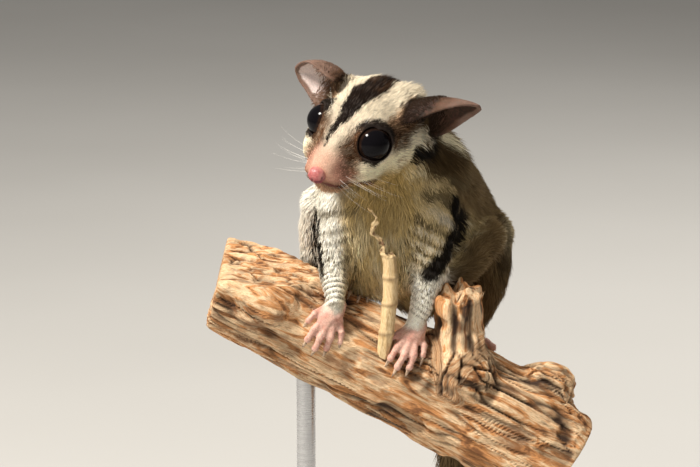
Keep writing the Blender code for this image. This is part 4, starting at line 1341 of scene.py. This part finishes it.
def finish_skin():
    mesh = skin.data
    keep_colours(mesh, "coat", np.clip(skin_colours(surface, shares), 0, 1))
    snout = shares[:, 0] * smooth_step(12.0, 15.5, in_head(surface.points)[:, 0])
    keep_numbers(mesh, "bare", np.clip(0.25 * shares[:, 6] + shares[:, 7] + 0.25 * snout, 0, 1))
    mesh.shade_smooth()
    look = Finish(
        "skin_and_short_hair", 0.62, Specular_IOR_Level=0.25, Subsurface_Weight=0.12,
        Subsurface_Radius=(1.0, 0.35, 0.2), Subsurface_Scale=0.001,
    )
    bare = look.value("bare")
    hair = look.effect(
        HAIR_STRANDS, Place=look.places(), Scale=2300.0, Detail=3.0, Gap_Until=0.35, Hair_From=0.65,
        Gap_Share=0.30, Coat=look.node("Attribute", attribute_name="coat").outputs["Color"],
        Gap=(0.02, 0.014, 0.010),
    )
    creases = look.noise(look.places(), 900.0, detail=5.0, roughness=0.62)
    flush = look.noise(look.places(), 260.0, detail=3.0)
    redder = look.sum((look.spread(creases, 0.52, 0.40), 0.30), (look.spread(flush, 0.5, 0.7), 0.15))
    redder = look.node("Math", {0: redder, 1: bare}, operation="MULTIPLY").outputs[0]
    tint = look.mix(redder, hair["Color"], (0.34, 0.11, 0.085))
    rough = look.spread(bare, 0.0, 1.0, 0.85, 0.46)
    height = look.sum((hair["Strands"], 0.5), (creases, 0.8))
    mesh.materials.append(look.finish(tint, rough, height, distance=0.00025, strength=0.55))
    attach(skin, "root")
    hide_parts(*FLESH)


skin_map = unwrap(skin)
finish_skin()


# The eyes: large, round and nearly black, with a thin brown iris at the rim and a wet clear front.
# Each sits two thirds in the skull behind the lids.

IRIS_BROWN = (0.020, 0.010, 0.006)
IRIS_DARK = (0.009, 0.005, 0.004)
EYE_WHITE = (0.012, 0.009, 0.008)
PUPIL_BLACK = (0.0035, 0.003, 0.004)


def make_eyes():
    look = Finish("wet_dark_eye", 0.10, Specular_IOR_Level=0.10)
    degrees = look.value("from_middle")
    rays = look.noise(look.places(), 900.0, detail=3.0)
    iris = look.mix(look.spread(rays, 0.3, 0.7), IRIS_BROWN, IRIS_DARK)
    tint = look.layered(
        PUPIL_BLACK, (look.spread(degrees, 50.0, 56.0), iris), (look.spread(degrees, 60.0, 68.0), EYE_WHITE),
    )
    wet = look.finish(tint)
    for side in EYE_PLACES:
        bm = bmesh.new()
        bmesh.ops.create_uvsphere(bm, u_segments=64, v_segments=48, radius=EYE_RADIUS * MM)
        angles = []
        for vert in bm.verts:
            angle = math.degrees(vert.co.angle(Vector((0, 0, 1))))
            vert.co *= 1 + 0.045 * math.exp(-((angle / 36) ** 2))
            angles.append(angle)
        bmesh.ops.transform(bm, matrix=eye_turn(side), verts=bm.verts)
        made = to_object("eyeball_" + side, bm)
        keep_numbers(made.data, "from_middle", angles)
        made.data.materials.append(wet)
        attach(made, "root")
        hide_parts("eye_" + side)


make_eyes()


# The nose: a bare moist pink pad, split down its middle, with a comma-shaped nostril at each side.

NOSE_PLACE = (17.2, 0.0, -5.2)
NOSE_RADII = (2.5, 2.8, 2.6)
NOSE_PINK = (0.34, 0.078, 0.080)
NOSE_PALE = (0.52, 0.21, 0.18)
NOSE_UNDER = (0.24, 0.035, 0.045)
NOSTRIL = (0.10, 0.018, 0.018)


def make_nose():
    bm = bmesh.new()
    bmesh.ops.create_uvsphere(bm, u_segments=72, v_segments=54, radius=1.0)
    bmesh.ops.scale(bm, vec=NOSE_RADII, verts=bm.verts)
    made = to_object("nose_pad", bm)
    mesh = made.data
    points = points_of(mesh)
    way = unit(points)
    mirror = mirrored(points)
    fore, side, rise = mirror.T
    nostril = from_line(mirror, (1.9, 1.2, -0.75), (1.25, 2.2, -0.65))
    slit = from_line(mirror, (1.2, 2.3, -0.5), (0.75, 2.6, 0.75))
    groove = bell(side, 0.22) * smooth_step(0.9, -0.4, rise) * smooth_step(0.5, 1.2, fore)
    height = 0.035 * field(points, 0.28, 101) + 0.08 * field(points, 1.1, 102)
    height += 0.22 * bell(nostril - 0.75, 0.35)
    height -= 0.95 * bell(nostril, 0.46) + 0.35 * bell(slit, 0.28) + 0.30 * groove
    dark = 1.1 * bell(nostril, 0.42) + 0.9 * bell(slit, 0.30) + 0.45 * groove
    keep_numbers(mesh, "hollow", np.clip(dark, 0, 1))
    points = points + way * height[:, None]
    fore, rise = points[:, 0], points[:, 2]
    flank = smooth_step(1.3, 2.3, side) * smooth_step(-0.8, 0.3, rise)
    keep_numbers(mesh, "rear", np.maximum(smooth_step(0.9, -0.8, fore), flank))
    keep_numbers(mesh, "under", smooth_step(1.3, -0.9, rise))
    move_points(mesh, head_place(points + NOSE_PLACE))
    look = Finish(
        "moist_nose", 0.46, Specular_IOR_Level=0.5, Subsurface_Weight=0.15, Coat_Weight=0.2,
        Coat_Roughness=0.25, Subsurface_Radius=(1.0, 0.3, 0.2), Subsurface_Scale=0.001,
    )
    grains = look.noise(look.places(), 2600.0, detail=2.0)
    tint = look.layered(
        NOSE_PINK,
        (look.spread(grains, 0.35, 0.7, 0.0, 0.55), NOSE_PALE),
        (look.value("rear"), NOSE_PALE),
        (look.value("under"), NOSE_UNDER),
        (look.value("hollow"), NOSTRIL),
    )
    mesh.materials.append(look.finish(tint, None, grains, distance=0.0001, strength=0.4))
    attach(made, "root")
    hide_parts("nose")


make_nose()


# The claws: curved points of pale horn at the ends of the fingers and toes, dug into the wood. The inner
# hind toe has none.

HORN_PALE = (0.55, 0.40, 0.28)
HORN_DARK = (0.16, 0.09, 0.05)
# How far along and how far down each ring of a claw lies in millimetres, and its share of the digit's radius.
CLAW_CURVE = ((0.0, 0.0), (0.8, 0.05), (1.5, 0.35), (2.0, 0.9), (2.2, 1.5))
CLAW_TAPER = (0.52, 0.46, 0.34, 0.20, 0.05)


def grow_shoot(bm, line, radii, segments):
    """A tapering closed tube along a line, drawn out of a small disc ring by ring."""
    line = [Vector(place) for place in line]
    frames = []
    for number, place in enumerate(line):
        ahead = line[min(number + 1, len(line) - 1)] - line[max(number - 1, 0)]
        turn = ahead.to_track_quat("Z", "Y").to_matrix().to_4x4()
        frames.append(Matrix.Translation(place) @ turn @ Matrix.Diagonal((radii[number],) * 3 + (1.0,)))
    foot = bmesh.ops.create_circle(bm, cap_ends=True, segments=segments, radius=1.0, matrix=frames[0])
    edges = list(dict.fromkeys(edge for vert in foot["verts"] for edge in vert.link_edges))
    for before, after in zip(frames, frames[1:]):
        drawn = bmesh.ops.extrude_edge_only(bm, edges=edges)["geom"]
        ring = [part for part in drawn if isinstance(part, bmesh.types.BMVert)]
        edges = [part for part in drawn if isinstance(part, bmesh.types.BMEdge)]
        edges = [edge for edge in edges if all(vert in ring for vert in edge.verts)]
        bmesh.ops.transform(bm, matrix=after @ before.inverted(), verts=ring)
    bmesh.ops.edgeloop_fill(bm, edges=edges)


def make_claws():
    bm = bmesh.new()
    for paw, (along, angle, mirror) in PAWS.items():
        fore = paw.startswith("fore")
        for radius, knots in FORE_DIGITS if fore else HIND_DIGITS[1:]:
            joints = digit_line(paw, knots)
            ahead = (joints[-1] - joints[-2]).normalized()
            side, turn, _ = knots[-1]
            bark = Vector(DATUM + on_bough(along + side * mirror, angle + turn + 6.0, -1.0) * MM)
            down = (bark - joints[-1]).normalized()
            base = joints[-1] + ahead * radius * 0.45 * MM
            line = [base + ahead * reach * MM + down * drop * MM for reach, drop in CLAW_CURVE]
            grow_shoot(bm, line, [radius * share * MM for share in CLAW_TAPER], 10)
    bmesh.ops.recalc_face_normals(bm, faces=bm.faces)
    made = to_object("claws", bm)
    look = Finish("claw_horn", 0.35)
    layers = look.noise(look.places(), 1300.0, detail=3.0)
    tint = look.ramp(layers, ((0.35, HORN_DARK), (0.60, HORN_PALE)))
    made.data.materials.append(look.finish(tint, None, layers, distance=0.00005, strength=0.2))
    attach(made, "root")


make_claws()


# The whiskers: long pale bristles from the upper lip, with a few over each eye and on the cheek.

WHISKER_RADIUS = 0.037 * MM
WHISKER_RINGS = 8
LIP_WHISKERS = [
    (fore, side, rise) for rise in (-5.6, -7.0, -8.4)
    for fore, side in ((13.4, 3.2), (12.0, 4.2), (10.4, 5.3), (8.8, 6.4))
]
OTHER_WHISKERS = [(1.0, 7.4, 6.9), (-3.0, 13.4, -6.5), (-4.2, 13.8, -7.4)]
BRISTLE_DIM = (0.80, 0.76, 0.68)
BRISTLE_PALE = (0.95, 0.93, 0.88)


def make_whiskers():
    rng = np.random.default_rng(7)
    bm = bmesh.new()
    for sign in (1, -1):
        for number, (fore, side, rise) in enumerate(LIP_WHISKERS + OTHER_WHISKERS):
            lip = number < len(LIP_WHISKERS)
            row, place = divmod(number, 4)
            foot = np.array((fore - 0.8, (side - 1.2) * sign, rise))
            long = rng.uniform(10, 19) if lip else rng.uniform(4, 6.5)
            if lip:
                ahead = (0.30 - 0.10 * place, (0.95 + 0.05 * place) * sign, -0.12 - 0.12 * row)
            elif rise > 0:
                ahead = (-0.25, 0.35 * sign, 0.9)
            else:
                ahead = (-0.1, 0.9 * sign, -0.55)
            ahead = unit(ahead + rng.normal(0, 0.07, 3))
            droop = np.array((-0.42, 0.05 * sign, -0.10)) * rng.uniform(0.6, 1.3)
            steps = np.linspace(0, 1, WHISKER_RINGS)[:, None]
            line = foot + ahead * steps * long + droop * (steps * long) ** 2 / 26.0
            radii = WHISKER_RADIUS * np.linspace(1.0, 0.18, WHISKER_RINGS)
            grow_shoot(bm, head_place(line), list(radii), 5)
    bmesh.ops.recalc_face_normals(bm, faces=bm.faces)
    made = to_object("whiskers", bm)
    look = Finish("whisker_bristle", 0.35)
    shade = look.noise(look.places(), 300.0, detail=2.0)
    made.data.materials.append(look.finish(look.ramp(shade, ((0.3, BRISTLE_DIM), (0.7, BRISTLE_PALE)))))
    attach(made, "root")


make_whiskers()


# The coat: soft dense fur, laid as thousands of thin closed locks that taper to a point. They follow the lie
# of the hair, lie along the body and overlap, and are shortest on the face and the feet.

LOCKS_PER_PIECE = 19500
PATCH_SIZE = 0.003
LOCK_ROWS = {
    # length and width in millimetres, share of the length that the tip stands off the skin, and locks for
    # each square millimetre
    "head": (2.6, 0.21, 0.30, 9.0), "body": (5.8, 0.25, 0.38, 4.6), "tail": (12.5, 0.38, 0.42, 3.2),
    "arm": (2.5, 0.20, 0.28, 8.2), "leg": (4.6, 0.26, 0.34, 4.4), "patagium": (4.0, 0.25, 0.32, 4.6),
    "ear": (2.0, 0.18, 0.22, 7.0), "paw": (1.1, 0.14, 0.14, 1.2),
}


LOCKS_PER_CLUMP = 8
# A lock has three corners at its foot, three at its middle and one at its tip. These are, for each corner,
# its painted shade on dark and on pale fur (darker at the foot, where the locks shade each other, and a
# little lighter at the tip), its place in the patch, and how its normal leans aside and ahead.
DARK_LOCK_SHADE = np.array((0.55, 0.60, 0.55, 0.94, 1.0, 0.94, 1.10))
PALE_LOCK_SHADE = np.array((0.82, 0.84, 0.82, 0.98, 1.0, 0.98, 1.04))
LOCK_PATCH = PATCH_SIZE * np.array(
    ((0.04, 0), (0, 0.5), (0.04, 1), (0.5, 0), (0.46, 0.5), (0.5, 1), (1, 0.5)),
)
LOCK_LEAN = np.array((0.45, 0.0, -0.45, 0.45, 0.0, -0.45, 0.0))
LOCK_AHEAD = np.array((0, 0, 0, 0, 0, 0, 0.3))


def lock_sizes(surface, shares):
    """Length, width, stand-off and number for each square millimetre, for each place on the skin."""
    table = np.array([LOCK_ROWS[group] for group in GROUPS])
    length, width, stand, crowd = (shares @ table).T
    q, head = in_mm(surface.points), in_head(surface.points)
    mirror = mirrored(head)
    fore, side, rise = mirror.T
    face = shares[:, 0]
    rim = from_eyes(head)
    on_face = np.interp(fore, (-24, -12, -2, 6, 10, 13.5, 16), (4.4, 3.0, 2.2, 1.7, 1.25, 0.8, 0.5))
    on_face += 1.5 * smooth_step(-5, -10, rise) * smooth_step(5, 0, fore)
    on_face += 1.6 * smooth_step(5.0, 2.5, np.linalg.norm(mirror - (-15.5, 15.5, -5.0), axis=1))
    crown = smooth_step(-12.0, -18.0, fore) * smooth_step(-6.0, -1.0, rise)
    crown = crown * smooth_step(3.5, 7.5, head[:, 1])
    chin = smooth_step(-9.2, -10.6, rise) * smooth_step(16.5, 14.5, fore) * smooth_step(0.0, 4.0, fore)
    on_face += 1.7 * crown * face + 1.5 * chin * face
    on_face = np.minimum(on_face, 0.55 + 0.42 * np.maximum(rim - EYE_RADIUS - 0.5, 0))
    tuft = from_line(mirror, (-14.0, 14.8, -4.8), (-19.5, 16.6, -7.6))
    stand = stand + (0.20 * crown + 0.45 * chin) * face + 0.35 * smooth_step(3.5, 1.5, tuft)
    length = length * (1 - face) + on_face * face
    width = width * (1 - face) + (0.11 + 0.05 * on_face) * face
    nape = smooth_step(30.0, 17.0, np.linalg.norm(head + (6.0, 0.0, 2.0), axis=1))
    length *= 1 - 0.42 * nape * shares[:, 1]
    full = smooth_step(15.0, 4.0, np.linalg.norm(q - (17.0, 9.0, 71.0), axis=1)) * shares[:, 1]
    length += 2.2 * full
    stand = stand + 0.15 * full
    sleeve = from_line(q, (12.0, -5.0, 60.0), (10.5, -8.0, 38.0))
    length += np.minimum(2.4 - length, 0) * smooth_step(10.5, 7.0, sleeve)
    wrist = np.minimum(*(4 - along_line(q, line)[2] for line in ARMS.values()))
    near_wrist = np.interp(wrist, (0, 1, 2.5), (0.42, 0.68, 1.0))
    length *= np.where(shares[:, 3] > 0.3, near_wrist, 1.0)
    _, _, along_tail = along_line(q, TAIL)
    length *= 1 - shares[:, 2] * np.interp(along_tail, (0, 1.5, 8.5, 10), (0.45, 0.1, 0.1, 0.4))
    stand = stand * (1 - 0.6 * shares[:, 2] * smooth_step(8.2, 9.8, along_tail))
    kept = smooth_step(EYE_RADIUS + 0.55, EYE_RADIUS + 0.95, rim)
    kept *= 1 - face * smooth_step(15.4, 17.0, fore)
    kept *= 1 - 0.9 * face * smooth_step(0.9, 0.5, from_lips(head))
    kept *= np.where(shares[:, 6] > 0.35, smooth_step(22.5, 17.5, side), 1.0)
    for paw, (along, angle, _) in PAWS.items():
        turn = 8 if paw.startswith("fore") else 0
        near = np.linalg.norm(q - on_bough(along, angle + turn, 3.0), axis=1)
        sparse = kept * smooth_step(3.0, 5.5, near) * 0.9
        kept = np.where((shares[:, 7] > 0.5) & (near < 22), sparse, kept)
    return np.maximum(length, 0.4), width, stand, crowd * kept


def sow_roots(surface, crowd, rng):
    """Places on the skin, spread evenly by area: the face of each, and its shares of that face's corners."""
    areas = surface.areas() / MM**2 * crowd[surface.faces].mean(axis=1)
    total = int(areas.sum())
    steps = np.cumsum(areas)
    chosen = np.searchsorted(steps, (np.arange(total) + rng.random(total)) / total * steps[-1])
    chosen = np.minimum(chosen, len(areas) - 1)
    first, second = rng.random(total), rng.random(total)
    over = first + second > 1
    first[over], second[over] = 1 - first[over], 1 - second[over]
    return chosen, np.column_stack((1 - first - second, first, second))


def gather(values, corners, weights):
    """Values of the skin's vertices, at the roots."""
    return np.einsum("nc,nc...->n...", weights, values[corners])


def clump(roots, tips, pull, every, rng):
    """Draws the tips of neighbouring locks together."""
    middles = rng.permutation(len(roots))[: len(roots) // every]
    tree = KDTree(len(middles))
    for number, middle in enumerate(middles):
        tree.insert(roots[middle], number)
    tree.balance()
    nearest = middles[[tree.find(root)[1] for root in roots]]
    return tips + (tips[nearest] - tips) * pull[:, None]


def lock_colours(roots, tips, share, rng):
    """Each lock's colour: the coat's marking near its tip, with darker, paler and dusky locks mixed in."""
    count = len(roots)
    stray = (0.30 + 0.45 * share[:, 1:6].sum(axis=1) - 0.35 * share[:, 3])[:, None] * MM
    tint = coat_colours(roots * 0.45 + tips * 0.55 + rng.normal(0, 1, (count, 3)) * stray, share)
    uneven = np.clip(rng.normal(0, 0.10, count), -0.25, 0.3) + 0.06 * field(in_mm(roots), 1.5, 113)
    tint = tint * (1 + uneven)[:, None]
    middling = smooth_step(0.36, 0.22, tint.mean(axis=1)) * share[:, 0]
    fleck = rng.random(count)
    tint = painted(tint, (tint * 2.4 + 0.03, middling * (fleck < 0.22) * 0.8))
    tint = painted(tint, (tint * 0.3, middling * (fleck > 0.74) * 0.8))
    grizzle = (rng.random(count) < 0.16) * (share[:, 1] + share[:, 3] + share[:, 4] + share[:, 5])
    tint = painted(tint, (tint * 1.5 + 0.02, 0.55 * grizzle))
    dusk = (rng.random(count) < 0.14) * (share[:, 1] + share[:, 4] + share[:, 2] + 0.4 * share[:, 0])
    dusk = dusk * smooth_step(0.75, 0.45, tint.mean(axis=1))
    tint = painted(tint, (tint * 0.5, 0.6 * dusk))
    # Painted shade of each corner: darker at the foot, a little lighter at the tip.
    pale = np.clip(tint.mean(axis=1) * 1.6, 0, 1)[:, None]
    shade = DARK_LOCK_SHADE * (1 - pale) + PALE_LOCK_SHADE * pale
    return np.clip(tint[:, None, :] * shade[:, :, None], 0, 1)


def grow_coat():
    rng = np.random.default_rng(11)
    length, width, stand, crowd = lock_sizes(surface, shares)
    chosen, weights = sow_roots(surface, crowd, rng)
    corners = surface.faces[chosen]
    normals = surface.softened(surface.normals(), 2)
    roots = gather(surface.points, corners, weights)
    normal = unit(gather(normals, corners, weights))
    share = gather(shares, corners, weights)
    count = len(roots)
    q = in_mm(roots)
    long = gather(length, corners, weights) * rng.uniform(0.72, 1.25, count)
    wide = gather(width, corners, weights) * rng.uniform(0.75, 1.25, count)
    rise = gather(stand, corners, weights) * rng.uniform(0.45, 1.05, count) * long
    lie = combed(roots, normal, share)
    aside = np.cross(normal, lie)
    loose = 0.20 + 0.25 * share[:, 1] + 0.15 * share[:, 2] - 0.06 * share[:, 0]
    turn = loose * (0.9 * field(q, 6.0, 111) + 0.6 * field(q, 2.2, 112)) + rng.normal(0, 0.09, count)
    lie = lie * np.cos(turn)[:, None] + aside * np.sin(turn)[:, None]
    aside = np.cross(normal, lie)
    fluff = share[:, 2] * rng.uniform(-0.5, 0.5, count)
    lie = unit(lie + aside * fluff[:, None] * 0.5)
    middle = roots + (lie * (0.48 * long)[:, None] + normal * (0.66 * rise)[:, None]) * MM
    tip = roots + (lie * (0.95 * long)[:, None] + normal * rise[:, None]) * MM
    middle += aside * (rng.normal(0, 0.05, count) * long * MM)[:, None]
    tip = clump(roots, tip, 0.34 - 0.16 * share[:, 0], LOCKS_PER_CLUMP, rng)
    clear_of_eyes(middle, 0.35)
    clear_of_eyes(tip, 0.45)
    side = unit(np.cross(normal, lie))
    half = side * (wide * MM / 2)[:, None]
    ridge = normal * (wide * MM * 0.30)[:, None]
    foot = roots - normal * 0.25 * MM
    places = np.stack((
        foot + half * 0.85, foot + ridge, foot - half * 0.85,
        middle + half, middle + ridge, middle - half, tip,
    ), axis=1)
    tints = lock_colours(roots, tip, share, rng)
    spot = np.einsum("nc,ncx->nx", weights, skin_map[chosen])
    maps = spot[:, None, :] + LOCK_PATCH[None]
    facing = (normal * 0.85)[:, None, :] + LOCK_LEAN[None, :, None] * side[:, None, :]
    facing = facing + LOCK_AHEAD[None, :, None] * lie[:, None, :]
    return places, tints, maps, share, unit(facing)


LOCK_FACES = np.array((
    (2, 1, 0), (0, 1, 4), (0, 4, 3), (1, 2, 5), (1, 5, 4),
    (2, 0, 3), (2, 3, 5), (3, 4, 6), (4, 5, 6), (5, 3, 6),
))


def lay_piece(name, places, tints, maps, facing, look):
    """Joins locks into one mesh, all at once from arrays."""
    count, points_each = places.shape[:2]
    mesh = bpy.data.meshes.new(name)
    corners = (LOCK_FACES[None] + (np.arange(count) * points_each)[:, None, None]).reshape(-1)
    mesh.vertices.add(count * points_each)
    mesh.vertices.foreach_set("co", places.astype(np.float32).ravel())
    mesh.loops.add(len(corners))
    mesh.loops.foreach_set("vertex_index", corners.astype(np.int32))
    mesh.polygons.add(count * len(LOCK_FACES))
    mesh.polygons.foreach_set("loop_start", np.arange(0, len(corners), 3, dtype=np.int32))
    mesh.update(calc_edges=True)
    mesh.shade_smooth()
    laid = mesh.uv_layers.new(name="OFBake")
    laid.data.foreach_set("uv", maps.reshape(-1, 2)[corners].astype(np.float32).ravel())
    keep_colours(mesh, "coat", tints.reshape(-1, 3))
    mesh.normals_split_custom_set_from_vertices(facing.reshape(-1, 3).astype(np.float32))
    made = bpy.data.objects.new(name, mesh)
    bpy.context.scene.collection.objects.link(made)
    mesh.materials.append(look)
    return made


def fur():
    look = Finish("fur", 0.8, Specular_IOR_Level=0.07)
    hair = look.effect(
        HAIR_STRANDS, Place=look.places(), Scale=2600.0, Detail=2.0, Gap_Until=0.32, Hair_From=0.60,
        Gap_Share=0.18, Coat=look.node("Attribute", attribute_name="coat").outputs["Color"],
        Gap=(0.025, 0.018, 0.012),
    )
    return look.finish(hair["Color"], look.spread(hair["Strands"], 0.3, 0.7, 0.82, 0.62))


def lay_coat():
    places, tints, maps, share, facing = grow_coat()
    look = fur()
    main = share.argmax(axis=1)
    # The hair on the ears goes with the head's, and the hair on the paws with the arms'.
    main[main == GROUPS.index("ear")] = GROUPS.index("head")
    main[main == GROUPS.index("paw")] = GROUPS.index("arm")
    for number, group in enumerate(GROUPS[:6]):
        mine = np.nonzero(main == number)[0]
        order = mine[np.argsort(places[mine, 6, 0])]
        parts = max(1, math.ceil(len(order) / LOCKS_PER_PIECE))
        for part, chosen in enumerate(np.array_split(order, parts)):
            arrays = (values[chosen] for values in (places, tints, maps, facing))
            made = lay_piece(f"coat_{group}_{part + 1}", *arrays, look)
            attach(made, "root")


lay_coat()


# The studio: a plain pale floor, soft lamps and the photo's own viewing angle. The floor and the lamps are
# for the picture only.

CAMERA_RISE = math.radians(12)
CAMERA_DISTANCE = 0.95
CAMERA_TARGET = (-15.87, 0, 44.95)
PICTURE_WIDTH = 0.22222
SENSOR_WIDTH = 36.0
FLOOR_DIM = (0.50, 0.49, 0.47)
FLOOR_PALE = (0.54, 0.53, 0.51)
AIR = (0.88, 0.85, 0.81, 1.0)
AIR_STRENGTH = 0.28


def look_from():
    ahead = Vector((0, math.cos(CAMERA_RISE), -math.sin(CAMERA_RISE)))
    target = Vector(DATUM) + Vector(CAMERA_TARGET) * MM
    camera = bpy.data.cameras.new("camera")
    camera.sensor_width = SENSOR_WIDTH
    camera.lens = SENSOR_WIDTH * CAMERA_DISTANCE / PICTURE_WIDTH
    camera.clip_start = 0.05
    camera.clip_end = 60.0
    made = bpy.data.objects.new("camera", camera)
    made.location = target - ahead * CAMERA_DISTANCE
    made.rotation_euler = ahead.to_track_quat("-Z", "Y").to_euler()
    bpy.context.scene.collection.objects.link(made)
    bpy.context.scene.camera = made
    return target


def add_lamp(name, target, direction, reach, size, power, tint):
    light = bpy.data.lights.new(name, "AREA")
    light.shape = "DISK"
    light.size = size
    light.energy = power
    light.color = tint
    made = bpy.data.objects.new(name, light)
    toward = Vector(direction).normalized()
    made.location = target + toward * reach
    made.rotation_euler = toward.to_track_quat("Z", "Y").to_euler()
    made.visible_glossy = name == "key_lamp"
    bpy.context.scene.collection.objects.link(made)


def make_studio():
    target = look_from()
    bm = bmesh.new()
    bmesh.ops.create_grid(bm, x_segments=4, y_segments=4, size=9.0)
    floor = to_object("floor", bm)
    look = Finish("pale_floor", 0.9, Specular_IOR_Level=0.2)
    grain = look.noise(look.places(), 2.0, detail=3.0)
    floor.data.materials.append(look.finish(look.ramp(grain, ((0.3, FLOOR_DIM), (0.7, FLOOR_PALE)))))
    cos, sin = math.cos(CAMERA_RISE), math.sin(CAMERA_RISE)
    right, up, near = Vector((1, 0, 0)), Vector((0, sin, cos)), Vector((0, -cos, sin))
    key = right * -0.50 + up * 0.705 + near * 0.48
    add_lamp("key_lamp", target, key, 1.3, 0.30, 32.0, (1.0, 0.95, 0.87))
    add_lamp("fill_lamp", target, (-0.55, -1.0, 0.02), 1.6, 1.0, 7.6, (1.0, 0.96, 0.90))
    add_lamp("rim_lamp", target, (0.75, 0.9, 0.75), 1.3, 0.5, 9.0, (1.0, 0.97, 0.92))
    world = bpy.data.worlds.new("studio")
    world.use_nodes = True
    background = world.node_tree.nodes["Background"].inputs
    background["Color"].default_value = AIR
    background["Strength"].default_value = AIR_STRENGTH
    bpy.context.scene.world = world
    bpy.context.scene.view_settings.view_transform = "Standard"


make_studio()
